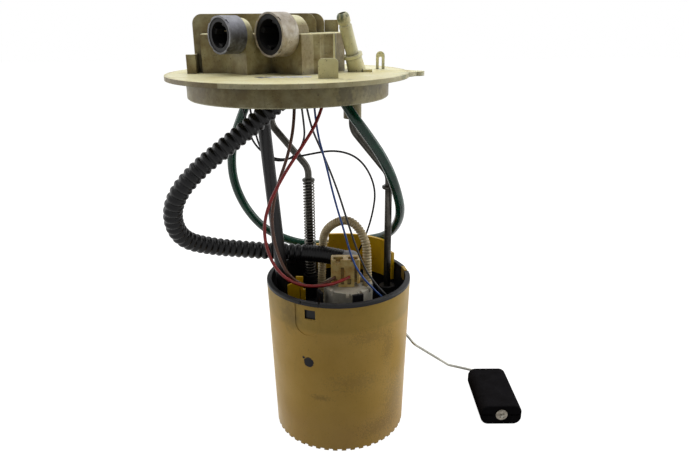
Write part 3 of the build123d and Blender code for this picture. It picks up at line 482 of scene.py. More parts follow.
    def skin(self, tree: Tree, shader: Node, place: Socket, mottle: Socket) -> None:
        """Gives the skin its uneven gloss, its fine grain and its rounded edges.

        Args:
            tree: the node tree.
            shader: the material's shader.
            place: object coordinates.
            mottle: the slow noise of the mottling.
        """
        sheen = add_node(tree, "ShaderNodeMapRange", {
            0: mottle, 1: USUAL[0], 2: USUAL[1],
            3: self.roughness + self.duller[0], 4: self.roughness + self.duller[1]})
        tree.links.new(sheen.outputs[0], shader.inputs["Roughness"])
        grain = add_node(tree, "ShaderNodeTexNoise", {
            "Vector": place, "Scale": 1000 / self.grain_mm, "Detail": 2.0, "Roughness": 0.5})
        bump = add_node(tree, "ShaderNodeBump", {
            "Strength": self.grain, "Distance": self.grain_deep_mm * MM, "Height": grain.outputs["Fac"]})
        if self.edge_mm > 0:
            soft = add_node(tree, "ShaderNodeBevel", {"Radius": self.edge_mm * MM}, samples=4)
            tree.links.new(soft.outputs[0], bump.inputs["Normal"])
        tree.links.new(bump.outputs[0], shader.inputs["Normal"])


@dataclass(frozen=True)
class Metal(Finish):
    """Bare metal with drawing lines along one axis and patches of tarnish."""

    base: str = "A0A0A0"
    tarnish: str = "4A4640"
    tarnishing: float = 0.4
    patch_mm: float = 12.0
    patches: tuple[float, float] = (0.42, 0.68)
    lines_mm: float = 0.5
    along: Point = (1.0, 1.0, 0.06)
    lines: float = 0.15
    lines_deep_mm: float = 0.1
    roughness: float = 0.32
    duller: tuple[float, float] = (-0.08, 0.18)
    metallic: float = 1.0

    def build(self) -> bpy.types.Material:
        """Makes the material.

        Returns:
            The finished material.
        """
        material, tree, shader, place = self.start()
        patch = add_node(tree, "ShaderNodeTexNoise", {
            "Vector": place, "Scale": 1000 / self.patch_mm, "Detail": 6.0, "Roughness": 0.7}).outputs["Fac"]
        mask = add_node(tree, "ShaderNodeMapRange", {
            0: patch, 1: self.patches[0], 2: self.patches[1], 3: 0.0, 4: self.tarnishing})
        mix = add_node(tree, "ShaderNodeMix", {
            0: mask.outputs[0], 6: linear(self.base), 7: linear(self.tarnish)},
            data_type="RGBA", blend_type="MIX")
        tree.links.new(mix.outputs[2], shader.inputs["Base Color"])
        gloss = add_node(tree, "ShaderNodeMapRange", {
            0: patch, 1: USUAL[0], 2: USUAL[1],
            3: self.roughness + self.duller[0], 4: self.roughness + self.duller[1]})
        tree.links.new(gloss.outputs[0], shader.inputs["Roughness"])
        drawn = add_node(tree, "ShaderNodeMapping", {"Vector": place, "Scale": self.along})
        lines = add_node(tree, "ShaderNodeTexNoise", {
            "Vector": drawn.outputs[0], "Scale": 1000 / self.lines_mm, "Detail": 2.0})
        bump = add_node(tree, "ShaderNodeBump", {
            "Strength": self.lines, "Distance": self.lines_deep_mm * MM, "Height": lines.outputs["Fac"]})
        tree.links.new(bump.outputs[0], shader.inputs["Normal"])
        shader.inputs["Metallic"].default_value = self.metallic
        return material


@dataclass(frozen=True)
class ClearTube(Finish):
    """Extruded hose wall or wire insulation with a faint haze, which may let light through."""

    base: str = "1F5A45"
    deep: str = "0B2A20"
    haze_mm: float = 6.0
    haze: tuple[float, float] = (0.35, 0.65)
    grain_mm: float = 1.111
    grain: float = 0.08
    grain_deep_mm: float = 0.2
    roughness: float = 0.24
    through: float = 0.35
    coat: float = 0.3
    specular: float = 0.28

    def build(self) -> bpy.types.Material:
        """Makes the material.

        Returns:
            The finished material.
        """
        material, tree, shader, place = self.start()
        cloud = add_node(tree, "ShaderNodeTexNoise", {
            "Vector": place, "Scale": 1000 / self.haze_mm, "Detail": 4.0, "Roughness": 0.6})
        mask = add_node(tree, "ShaderNodeMapRange", {
            0: cloud.outputs["Fac"], 1: self.haze[0], 2: self.haze[1], 3: 0.0, 4: 1.0})
        mix = add_node(tree, "ShaderNodeMix", {
            0: mask.outputs[0], 6: linear(self.base), 7: linear(self.deep)},
            data_type="RGBA", blend_type="MIX")
        tree.links.new(mix.outputs[2], shader.inputs["Base Color"])
        fine = add_node(tree, "ShaderNodeTexNoise", {
            "Vector": place, "Scale": 1000 / self.grain_mm, "Detail": 2.0})
        bump = add_node(tree, "ShaderNodeBump", {
            "Strength": self.grain, "Distance": self.grain_deep_mm * MM, "Height": fine.outputs["Fac"]})
        tree.links.new(bump.outputs[0], shader.inputs["Normal"])
        shader.inputs["Roughness"].default_value = self.roughness
        shader.inputs["Transmission Weight"].default_value = self.through
        shader.inputs["Specular IOR Level"].default_value = self.specular
        shader.inputs["Coat Weight"].default_value = self.coat
        shader.inputs["IOR"].default_value = 1.5
        return material


class Look(Enum):
    """The finishes of the module, by what each real part is made of."""

    # polyamide flange: pale cream on the lit disc, dusty, with brown painted shade on the upright faces of
    # the tower and skirt
    FLANGE = Moulding(
        "Aged natural polyamide, flange", base="EBE7BE", stain="CFC48E", staining=0.75, mottle_mm=20,
        smear=0.30, specks=0.75, speck_mm=1.1, corner_shade=0.8, corner_shade_mm=7, grain=0.10, edge_mm=0.5,
        # the last setting on the next line lays brown painted shade on the upright faces
        roughness=0.46, specular=0.35, glow=0.06, upright_shade=UprightShade("6C582B", 0.88),
        # duller towards the front, and browned along the edge of the disc
        bands=(Band("Y", -60, -6, "B9AB77", 0.3, 8.0, 6.0),
               Band("R", 74.4, 77.4, "7A6438", 0.45, 1.2, 4.5, (-30.4, 0.0))),
        # painted light: a paler patch on the lit right side of the skirt; then green paint on the spigot,
        # an amber spot by the left socket, green smears on the disc and dark dirt on the skirt
        marks=(Mark((14.0, -44.0, 243.0), 20, "C4BB8C", 0.45, 0.5, 0.5, 4.0, (1.4, 1.0, 1.0)),
               Mark((3.6, -8.0, 285.8), 3.6, "22402C", 0.85, 0.3, 0.5, 2.0),
               Mark((-51.8, -9.6, 280.2), 2.8, "D79B22", 0.9, 0.2, 0.4, 1.5, (0.7, 1.0, 1.2)),
               Mark((46.5, -13.0, 252.9), 4.2, "3F6B4C", 0.55, 0.3, 0.6, 1.6, (1.8, 0.5, 0.6)),
               Mark((40.0, -30.0, 252.9), 4.0, "3F6B4C", 0.4, 0.3, 0.6, 1.6, (0.4, 1.8, 0.6)),
               Mark((7.0, -52.5, 245.0), 5.0, "3B352C", 0.55, 0.5, 0.8, 2.5, (1.3, 1.0, 1.6)),
               Mark((22.0, -36.0, 246.0), 4.5, "423B30", 0.45, 0.5, 0.8, 2.0, (2.0, 2.0, 1.0))))
    # polyamide sleeve soaked by fuel: tan, more olive above the level of the tray
    SLEEVE = Moulding(
        "Fuel-stained natural polyamide, cup sleeve", base="D8B05C", stain="C49B48", staining=0.5,
        mottle_mm=34, smear=0.10, specks=0.35, speck_mm=0.8, corner_shade=0.35, corner_shade_mm=2.5, grain=0.06,
        edge_mm=0.3, roughness=0.40, specular=0.16, glow=0.08, grime_and_shade="4A3E2C",
        bands=(Band("Z", 93, 120, "B0954A", 0.7, 1.6, 40.0), Band("Z", -5, 26, "CFA766", 0.5, 9.0, 25.0)),
        # an ink spot with a small one beside it, and faint smudges round the front
        marks=(Mark((-19.9, -44.9, 69.6), 3.7, "17151A", 1.0, 0.06, 0.12, 1.6),
               Mark((-23.2, -43.2, 72.4), 1.0, "17151A", 1.0, 0.1, 0.3, 0.8),
               Mark((22, -43, 88), 8.5, "6E5C42", 0.24, 0.5, 1.3, 1.1, (1.5, 1.0, 0.5)),
               Mark((33, -36, 76), 7.0, "6A5842", 0.26, 0.5, 1.3, 1.0, (0.5, 0.7, 1.5)),
               Mark((12, -46, 55), 8.0, "7A6648", 0.2, 0.5, 1.3, 1.3, (1.8, 1.0, 0.7)),
               Mark((38, -29, 30), 11.0, "5E4F42", 0.26, 0.5, 1.2, 1.2, (0.8, 0.8, 1.6)),
               Mark((27, -39, 14), 9.0, "66543F", 0.28, 0.5, 1.2, 1.1, (1.4, 1.0, 0.7)),
               Mark((-12, -46, 43), 3.6, "6E5A3C", 0.35, 0.5, 0.8, 1.4, (1.8, 1.0, 0.5)),
               Mark((-31, -37, 103), 9.0, "6F6044", 0.45, 0.6, 0.5, 4.0, (0.6, 1.0, 1.2))))
    # black polyoxymethylene of the inner cup, tray and small bodies
    BLACK = Moulding(
        "Black acetal", base="141416", stain="1D1D1F", staining=0.6, mottle_mm=10, smear=0.2,
        grime_and_shade="3A3937", specks=0.2, corner_shade=0.0, grain=0.08, edge_mm=0.3, roughness=0.42, specular=0.2)
    # glass-filled black polyamide: greyer, rougher skin
    FILLED = Moulding(
        "Glass-filled black polyamide", base="111112", stain="1D1B1A", staining=0.7, mottle_mm=7,
        smear=0.25, grime_and_shade="45433E", specks=0.35, corner_shade=0.0, grain=0.2, grain_mm=0.5, edge_mm=0.3,
        roughness=0.55, specular=0.2)
    # bright yellow acetal, a little stained by fuel
    YELLOW = Moulding(
        "Yellow acetal", base="EAB90C", stain="D8A408", staining=0.5, mottle_mm=12, smear=0.08,
        grime_and_shade="4A3510", specks=0.5, speck_mm=1.0, corner_shade=0.4, grain=0.06, edge_mm=0.4, roughness=0.36,
        specular=0.5)
    # grey locking ring, bluish on top, with painted shade darkening its lower half
    RING_GREY = Moulding(
        "Grey polyamide ring", base="8C8D96", stain="6E6E74", staining=0.7, mottle_mm=5, smear=0.35,
        grime_and_shade="1E1C1B", specks=0.5, corner_shade=0.7, grain=0.12, edge_mm=0.4, roughness=0.42,
        # painted shade: the lower half of the ring is darkened nearly to black
        bands=(Band("Z", 255, 278.5, "2E2B29", 0.95, 4.5, 5.0),))
    # unpigmented ring, whitish and smeared with brown
    RING_CLEAR = Moulding(
        "Unpigmented polyamide ring", base="CCC3B2", stain="A08E72", staining=0.85, mottle_mm=4.5,
        smear=0.75, grime_and_shade="3E342C", specks=0.6, corner_shade=0.75, grain=0.15, edge_mm=0.4, roughness=0.38,
        glow=0.1,
        bands=(Band("Z", 255, 269, "544638", 0.6, 3.0, 5.0),
               Band("Z", 283, 295, "6F6354", 0.7, 3.0, 3.5)))
    # grey-white outlet cap of the pump
    CAP = Moulding(
        "Grey-white acetal, pump cap", base="D2CDBE", stain="ABA592", staining=0.6, mottle_mm=8,
        smear=0.3, grime_and_shade="3B3228", specks=0.6, speck_mm=0.9, corner_shade=0.75, corner_shade_mm=3, grain=0.1,
        edge_mm=0.4, roughness=0.40, glow=0.05)
    # cream wire block, amber where fuel has soaked into it
    PLUG = Moulding(
        "Fuel-stained cream polyamide, wire block", base="EFD68A", stain="C0913A", staining=0.85,
        mottle_mm=6, smear=0.35, grime_and_shade="52360F", specks=0.5, speck_mm=0.8, corner_shade=0.85, corner_shade_mm=3.5,
        grain=0.12, edge_mm=0.5, roughness=0.36, glow=0.08)
    # grey domed hose fitting
    ELBOW = Moulding(
        "Grey acetal, outlet elbow", base="9C9DA0", stain="808184", staining=0.6, mottle_mm=6, smear=0.25,
        grime_and_shade="26241F", specks=0.3, corner_shade=0.4, grain=0.1, roughness=0.42)
    # cream hub of the arm
    HUB = Moulding(
        "Natural acetal, arm hub", base="D8D0AE", stain="BDB188", staining=0.5, mottle_mm=6, specks=0.3,
        corner_shade=0.6, corner_shade_mm=2.5, grain=0.08, edge_mm=0.35, roughness=0.4)
    # foamed nitrile float: charcoal skin with fine closed pores
    FLOAT = Moulding(
        "Closed-cell nitrile float", base="1E1D1F", stain="171617", staining=0.8, mottle_mm=9, smear=0.12,
        grime_and_shade="403F3E", specks=0.28, speck_mm=0.6, corner_shade=0.0, grain=0.5, grain_mm=0.45, roughness=0.8,
        specular=0.0)
    # rubber of the isolator and the disc valve
    RUBBER = Moulding(
        "Nitrile rubber", base="1D1C1C", stain="2A2827", staining=0.6, mottle_mm=5, specks=0.2,
        corner_shade=0.0, grain=0.25, grain_mm=0.5, roughness=0.75, specular=0.3, grime_and_shade="4A4744")
    # woven nylon of the strainer, drawn with coarser threads than the real 0.1 mm so that they show
    MESH = Moulding(
        "Woven nylon strainer", base="D9D6CC", stain="BBB49E", staining=0.7, mottle_mm=4, specks=0.5,
        speck_mm=0.5, corner_shade=0.3, grain=0.8, grain_mm=0.5, roughness=0.6, glow=0.1)
    # alumina card with its glazed face
    CARD = Moulding(
        "Alumina card", base="DAD7CE", stain="C9C4B4", staining=0.4, mottle_mm=5, specks=0.1, corner_shade=0.2,
        grain=0.05, roughness=0.3)
    # corrugated tan tube
    TAN = Moulding(
        "Corrugated natural polyamide tube", base="CDBA8E", stain="A68F5E", staining=0.8, mottle_mm=9,
        smear=0.2, grime_and_shade="4A3A20", specks=0.3, corner_shade=0.0, grain=0.08, roughness=0.34, glow=0.1)
    # corrugated black hose: glossy, with specks and smears of dust
    HOSE = Moulding(
        "Corrugated black polyamide hose", base="0F0F11", stain="161618", staining=0.6, mottle_mm=8,
        smear=0.12, grime_and_shade="3A3833", specks=0.2, corner_shade=0.0, grain=0.06, roughness=0.32, specular=0.22)
    # smooth black return pipe
    PIPE = Moulding(
        "Extruded black polyamide pipe", base="151416", stain="222122", staining=0.6, mottle_mm=11,
        smear=0.3, grime_and_shade="4A4843", specks=0.15, corner_shade=0.0, grain=0.05, roughness=0.34, specular=0.3)
    # fired ferrite: dark, dull and slightly porous
    FERRITE = Moulding(
        "Sintered ferrite", base="35312F", stain="2A2725", staining=0.7, mottle_mm=3, specks=0.4,
        corner_shade=0.0, grain=0.3, grain_mm=0.4, roughness=0.62)
    # pressed carbon: dark grey, dull and grainy
    CARBON = Moulding(
        "Carbon brush", base="2B2A29", stain="1F1E1E", staining=0.6, mottle_mm=2, specks=0.2, corner_shade=0.0,
        grain=0.4, grain_mm=0.3, roughness=0.7)
    # drawn steel rods with brown-black patches of old fuel
    ROD = Metal(
        "Drawn steel rod", base="4A4843", tarnish="1A1815", tarnishing=0.9, patch_mm=16, lines_mm=0.6,
        lines=0.25, roughness=0.30)
    # hard-drawn wire, dark with small brown spots of old fuel
    SPRING = Metal(
        "Spring steel wire", base="625F58", tarnish="221F1A", tarnishing=0.75, patch_mm=5, lines_mm=0.4,
        along=(1.0, 1.0, 1.0), lines=0.1, roughness=0.30)
    # bright zinc over drawn steel, under a dull bloom
    CASE = Metal(
        "Zinc-plated steel case", base="9D9B94", tarnish="6A6558", tarnishing=0.6, patch_mm=9,
        lines_mm=0.7, along=(1.0, 1.0, 0.2), lines=0.12, roughness=0.34)
    # bare drawn wire, pale with dull brown stretches
    ARM = Metal(
        "Bare steel arm wire", base="A8A69D", tarnish="4A483F", tarnishing=0.65, patch_mm=14,
        lines_mm=0.5, along=(0.2, 0.2, 1.0), lines=0.1, roughness=0.33)
    # stamped fastener, crinkled and tarnished in small patches
    WASHER = Metal(
        "Pressed spring-steel fastener", base="8B857A", tarnish="3F3A33", tarnishing=0.7, patch_mm=2.6,
        lines_mm=0.35, along=(1.0, 1.0, 1.0), lines=0.5, roughness=0.5)
    # tin over brass: pale yellow and smooth, browned in spots
    BRASS = Metal(
        "Tinned brass contact", base="C5B48A", tarnish="6F5B33", tarnishing=0.5, patch_mm=3, lines_mm=0.3,
        lines=0.1, roughness=0.28)
    # turned copper bars, browned by the brushes
    COPPER = Metal(
        "Copper commutator bars", base="B4703C", tarnish="5B3A24", tarnishing=0.6, patch_mm=2,
        lines_mm=0.3, along=(1.0, 1.0, 0.05), lines=0.2, roughness=0.3)
    # stacked sheets under brown varnish, seen as fine level lines
    IRON = Metal(
        "Varnished steel laminations", base="5A554F", tarnish="2E2A27", tarnishing=0.6, patch_mm=5,
        lines_mm=0.5, along=(0.05, 0.05, 1.0), lines=0.5, roughness=0.45)
    # translucent green return hose, darker in soft patches
    GREEN = ClearTube(
        "Translucent green polyurethane hose", base="12503B", deep="0A3226", through=0.2, coat=0.05)
    # wire insulation: smooth and a little glossy, dulled by fuel
    RED = ClearTube(
        "Red cross-linked wire insulation", base="B01F1C", deep="8A1715", through=0.0, roughness=0.33,
        coat=0.15)
    BROWN = ClearTube(
        "Brown cross-linked wire insulation", base="6E4530", deep="4C2E20", through=0.0, roughness=0.35,
        coat=0.15)
    BLUE = ClearTube(
        "Blue cross-linked wire insulation", base="1F57AE", deep="173F82", through=0.0, roughness=0.33,
        coat=0.15)
    DARK = ClearTube(
        "Black cross-linked wire insulation", base="1A1A1D", deep="101012", through=0.0, roughness=0.36,
        coat=0.12)
    # torn scrap of blank white label, smeared grey
    PAPER = Moulding(
        "Torn blank label paper", base="DDDCDA", stain="B9B8BC", staining=0.9, mottle_mm=5, smear=0.7,
        grime_and_shade="3A3A46", specks=0.4, corner_shade=0.0, grain=0.2, roughness=0.8, specular=0.2,
        # a dark smear at the left end
        marks=(Mark((-45.5, -36.5, 253.0), 4.2, "1C1B22", 0.9, 0.3, 0.7, 2.2, (1.9, 1.0, 1.0)),))
    # printed resistor track
    TRACK = Moulding(
        "Printed carbon track", base="23211F", stain="34302B", staining=0.6, mottle_mm=2, specks=0.2,
        corner_shade=0.0, grain=0.1, roughness=0.45)

    def material(self) -> bpy.types.Material:
        """Gives this finish's material, made on its first use."""
        made = bpy.data.materials.get(self.value.name)
        return made if made else self.value.build()


def dress(piece: bpy.types.Object, look: Look) -> bpy.types.Object:
    """Gives a piece one finish all over.

    Args:
        piece: the object.
        look: its finish.

    Returns:
        The same object.
    """
    piece.data.materials.clear()
    piece.data.materials.append(look.material())
    return piece


# modelling helpers


def fresh() -> None:
    """Leaves edit mode and deselects everything."""
    if bpy.context.object and bpy.context.object.mode != "OBJECT":
        bpy.ops.object.mode_set(mode="OBJECT")
    bpy.ops.object.select_all(action="DESELECT")


def settle(name: str, body: str, look: Look, smooth_deg: float = 40.0) -> bpy.types.Object:
    """Finishes the active new piece: place into its mesh, smoothing, finish and body.

    Args:
        name: the piece's name.
        body: the body it rides on.
        look: its finish.
        smooth_deg: edges flatter than this are shaded smooth.

    Returns:
        The piece.
    """
    piece = bpy.context.object
    if piece.mode != "OBJECT":
        bpy.ops.object.mode_set(mode="OBJECT")
    piece.name = name
    bpy.ops.object.transform_apply(location=True, rotation=True, scale=True)
    for modifier in list(piece.modifiers):
        bpy.ops.object.modifier_apply(modifier=modifier.name)
    bpy.ops.object.shade_smooth_by_angle(angle=math.radians(smooth_deg))
    dress(piece, look)
    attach(piece, body)
    piece.select_set(False)
    LOG.info("piece %s: %d faces", name, len(piece.data.polygons))
    return piece


def pick(piece: bpy.types.Object, test: Callable[[Vector, Vector], bool]) -> int:
    """Selects faces of the piece in edit mode by a test of centre and normal.

    Args:
        piece: the mesh object in edit mode.
        test: a function of the face's centre and normal, in metres, that says whether it is taken.

    Returns:
        How many faces are selected.
    """
    bpy.ops.mesh.select_mode(type="FACE")
    bpy.ops.mesh.select_all(action="DESELECT")
    cage = bmesh.from_edit_mesh(piece.data)
    taken = 0
    for face in cage.faces:
        if test(face.calc_center_median(), face.normal):
            face.select_set(True)
            taken += 1
    bmesh.update_edit_mesh(piece.data)
    return taken


class Wall(Enum):
    """How a hose's wall runs along its length."""

    SMOOTH = "smooth"
    CORRUGATED = "corrugated"


@dataclass
class Cord:
    """A hose or wire on the route that the model's solid has, with its sizes in millimetres.

    `fixed_z` and `moving_z` give the levels between which it would stretch with the joint, but they are not
    used. A corrugated wall has a plain cuff at its start and a finely ribbed one at its end, and a
    `crest_power` below 1 makes its crests wide and its grooves narrow. Its faces come in `ring_steps` to
    one ring: the first number for a fine pitch, the second for one above `wide_pitch`.
    """

    node: str
    points: list[Point]
    radius: float
    length: float
    look: Look
    slot: str
    ends: tuple[str, str]
    stiffness: str = "medium"
    fixed_z: float = 0.0
    moving_z: float = 0.0
    wall: Wall = Wall.SMOOTH
    pitch: float = 4.4
    depth: float = 1.5
    cuffs: tuple[float, float] = (0.0, 0.0)
    cuff_sink: float = 0.2
    rib_pitch: float = 2.0
    rib_depth: float = 0.2
    crest_power: float = 0.42
    around: int = 16
    smooth_step: float = 2.2
    wide_pitch: float = 3.0
    ring_steps: tuple[int, int] = (7, 10)
    fewest_steps: int = 12

    def line(self) -> list[Vector]:
        """Reads the smooth line of the route from its spline.

        Returns:
            Points along the line, in metres.
        """
        curve = bpy.data.curves.new(self.node + "_route", "CURVE")
        curve.dimensions = "3D"
        spline = curve.splines.new("NURBS")
        spline.points.add(len(self.points) - 1)
        for target, point in zip(spline.points, self.points):
            target.co = (point[0] * MM, point[1] * MM, point[2] * MM, 1.0)
        spline.order_u = 3
        spline.use_endpoint_u = True
        spline.resolution_u = 48
        holder = bpy.data.objects.new(self.node + "_route", curve)
        bpy.context.scene.collection.objects.link(holder)
        mesh = bpy.data.meshes.new_from_object(holder)
        found = [vertex.co.copy() for vertex in mesh.vertices]
        bpy.data.objects.remove(holder)
        bpy.data.meshes.remove(mesh)
        return found

    def radius_at(self, along: float, total: float) -> float:
        """Gives the wall's radius at a distance along the hose.

        Args:
            along: distance from the start, in millimetres.
            total: the whole length, in millimetres.

        Returns:
            The radius in millimetres.
        """
        if self.wall is Wall.SMOOTH:
            return self.radius
        first, last = self.cuffs
        if along < first or along > total - last:
            ribs = self.rib_depth * math.cos(2 * math.pi * along / self.rib_pitch) if along > first else 0.0
            return self.radius - self.cuff_sink * self.depth + ribs
        wave = 0.5 - 0.5 * math.cos(2 * math.pi * (along - first) / self.pitch)
        return self.radius - self.depth * (1 - wave ** self.crest_power)

    def stations(self) -> tuple[list[float], list[Vector]]:
        """Steps evenly along the route.

        Returns:
            The distances from the start in millimetres, and the places there in metres.
        """
        line = self.line()
        marks = [0.0]
        for before, after in zip(line, line[1:]):
            marks.append(marks[-1] + (after - before).length / MM)
        step = self.smooth_step
        if self.wall is Wall.CORRUGATED:
            few, many = self.ring_steps
            step = self.pitch / (many if self.pitch > self.wide_pitch else few)
        count = max(self.fewest_steps, int(marks[-1] / step))
        distances = [marks[-1] * i / count for i in range(count + 1)]
        places, index = [], 0
        for at in distances:
            while index < len(marks) - 2 and marks[index + 1] < at:
                index += 1
            share = (at - marks[index]) / max(1e-9, marks[index + 1] - marks[index])
            places.append(line[index].lerp(line[index + 1], min(1.0, max(0.0, share))))
        return distances, places

    def tube(self, distances: list[float], places: list[Vector]) -> bpy.types.Mesh:
        """Sweeps the round wall along the route, with both ends closed.

        Args:
            distances: distances from the start, in millimetres.
            places: the places there, in metres.

        Returns:
            The mesh.
        """
        side = Vector((0, 0, 1)).cross(places[1] - places[0])
        if side.length < 1e-7:
            side = Vector((1, 0, 0))
        verts, faces = [], []
        n, last = self.around, len(places) - 1
        for i, place in enumerate(places):
            way = (places[min(i + 1, last)] - places[max(i - 1, 0)]).normalized()
            side = (side - way * side.dot(way)).normalized()
            up = way.cross(side)
            r = self.radius_at(distances[i], distances[-1]) * MM
            for k in range(n):
                turn = 2 * math.pi * k / n
                verts.append(place + side * (r * math.cos(turn)) + up * (r * math.sin(turn)))
        for i in range(last):
            for k in range(n):
                a, b = i * n + k, i * n + (k + 1) % n
                faces.append((a, b, b + n, a + n))
        faces.append(tuple(reversed(range(n))))
        faces.append(tuple(range(last * n, last * n + n)))
        mesh = bpy.data.meshes.new(self.node + "_tube")
        mesh.from_pydata([tuple(v) for v in verts], [], faces)
        mesh.validate()
        for face in mesh.polygons:
            face.use_smooth = len(face.vertices) == 4
        return mesh

    def build(self) -> bpy.types.Object:
        """Returns:
            The piece.
        """
        distances, places = self.stations()
        piece = bpy.data.objects.new(self.node + "_tube", self.tube(distances, places))
        bpy.context.scene.collection.objects.link(piece)
        dress(piece, self.look)
        low, high = self.ends
        if low == high:
            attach(piece, low)
        else:
            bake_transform(piece)
        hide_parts(self.node)
        LOG.info("cord %s: %.0f mm, %d faces", self.node, distances[-1], len(piece.data.polygons))
        return piece


@dataclass
class Harness:
    """All hoses and wires, with the routes of the model in millimetres."""

    supply_radius: float = 6.25
    green_radius: float = 3.25
    tan_radius: float = 3.1
    power_radius: float = 1.05
    signal_radius: float = 0.7
    face_z: float = 240.0

    def cords(self) -> list[Cord]:
        """Lists the hoses and wires with their routes.

        Returns:
            The cords, in the order in which they are built.
        """
        z = self.face_z
        both = ("reservoir", "head")
        return [
            Cord("supply_hose", [
                (-22.5, -20.0, 243.3), (-33.5, -22.0, 239.0), (-48.0, -26.0, 226.0), (-66.0, -30.0, 212.5),
                (-85.5, -32.5, 197.5), (-100.0, -33.0, 181.5), (-106.0, -28.0, 164.5),
                (-103.5, -16.5, 146.0), (-87.0, -1.5, 135.5), (-64.0, 9.5, 129.0), (-38.0, 12.0, 126.0),
                (-12.0, 8.2, 126.0), (3.5, 4.0, 124.0)],
                self.supply_radius, 255, Look.HOSE, "hose_black", both, "stiff",
                fixed_z=124.0, moving_z=241.0, wall=Wall.CORRUGATED, pitch=4.7, depth=1.4,
                cuffs=(16.0, 27.0), around=28),
            Cord("return_hose", [
                (2.0, -6.0, z), (7.5, -10.0, 230.0), (18.0, -14.5, 217.0), (30.0, -14.5, 199.5),
                (38.0, -10.0, 181.0), (45.0, 9.5, 154.5), (38.5, 34.5, 130.5), (22.0, 54.5, 119.5),
                (-1.0, 63.0, 113.5), (-29.0, 65.0, 111.5), (-56.5, 60.0, 124.5), (-71.5, 54.0, 145.0),
                (-79.0, 47.5, 169.5), (-78.0, 41.5, 193.0), (-71.0, 35.5, 213.5), (-58.0, 30.0, z)],
                self.green_radius, 378, Look.GREEN, "hose_green", both,
                fixed_z=111.0, moving_z=238.0, around=24),
            Cord("power_wire_red", [
                (-7.0, -10.5, z), (-10.5, -15.0, 226.0), (-22.5, -22.0, 208.0), (-34.0, -29.0, 192.0),
                (-44.5, -35.0, 172.0), (-47.0, -34.0, 152.5), (-41.5, -29.5, 130.0), (-27.5, -27.5, 117.0),
                (-9.0, -24.0, 115.0), (2.5, -19.5, 117.0), (7.5, -13.2, 117.0)],
                self.power_radius, 182, Look.RED, "wire_red", both,
                fixed_z=117.0, moving_z=238.0, around=14),
            Cord("power_wire_brown", [
                (-26.5, -8.0, z), (-26.5, -11.0, 224.0), (-30.5, -19.5, 204.0), (-37.5, -26.0, 186.0),
                (-42.0, -30.5, 167.5), (-41.0, -28.5, 147.0), (-35.0, -25.0, 125.5), (-23.5, -21.0, 113.5),
                (-10.5, -19.0, 113.5), (-2.0, -13.2, 117.0)],
                self.power_radius, 161, Look.BROWN, "wire_brown", both,
                fixed_z=117.0, moving_z=238.0, around=14),
            Cord("signal_wire_blue", [
                (-14.5, -8.0, z), (-13.5, -9.5, 219.5), (-7.5, -13.0, 197.5), (-2.0, -16.5, 173.5),
                (4.5, -17.5, 151.0), (10.5, -20.5, 128.5), (21.0, -22.5, 114.5), (31.5, -22.0, 104.0)],
                self.signal_radius, 148, Look.BLUE, "wire_blue", both,
                fixed_z=104.0, moving_z=238.0, around=12),
            Cord("signal_wire_black", [
                (-20.5, -4.0, z), (-18.0, -2.5, 221.0), (-9.5, -4.0, 201.5), (-0.5, -7.0, 179.0),
                (6.5, -8.5, 155.5), (14.0, -13.4, 133.0), (22.5, -16.8, 115.5), (35.0, -21.0, 104.0)],
                self.signal_radius, 151, Look.DARK, "wire_black", both,
                fixed_z=104.0, moving_z=238.0, around=12),
            Cord("sender_lead", [
                (-65.0, 15.0, z), (-61.5, 14.5, 219.0), (-56.0, 10.5, 203.0), (-41.5, 11.5, 192.5),
                (-20.5, 8.0, 198.0), (0.5, 5.0, 202.0), (17.0, 11.0, 193.5), (27.0, 18.0, 172.0),
                (25.0, 24.0, 150.0), (19.0, 29.5, 128.0), (13.5, 38.0, 112.0)],
                self.signal_radius, 206, Look.DARK, "wire_black", both,
                fixed_z=112.0, moving_z=238.0, around=12),
            Cord("bridge_lead", [
                (-24.0, 2.0, z), (-22.0, 4.0, 223.5), (-21.5, 8.5, 206.0), (-33.5, 15.0, 191.5),
                (-50.0, 16.5, 193.0), (-57.0, 18.0, 212.0), (-60.5, 19.0, z)],
                self.signal_radius, 116, Look.DARK, "wire_black", ("head", "head"), around=12),
            Cord("jet_feed_tube", [
                (20.5, -8.0, 104.0), (20.0, -7.5, 124.0), (19.5, -5.0, 142.0), (7.5, 1.0, 156.0),
                (-10.0, 13.0, 143.5), (-12.0, 21.4, 122.0), (-13.5, 22.5, 80.0), (-13.0, 22.0, 34.0)],
                self.tan_radius, 187, Look.TAN, "hose_tan", ("reservoir", "reservoir"),
                wall=Wall.CORRUGATED, pitch=2.0, depth=0.7, cuffs=(6.0, 4.0), around=18),
        ]

    def build(self) -> None:
        """Builds every hose and wire."""
        for cord in self.cords():
            cord.build()


@dataclass
class Assembly:
    """A sub-assembly whose CAD nodes each take one finish."""

    looks: dict[str, Look] = field(default_factory=dict)

    def build(self, frame: dict) -> None:
        """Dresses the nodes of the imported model."""
        for node, look in self.looks.items():
            dress(frame["nodes"][node], look)


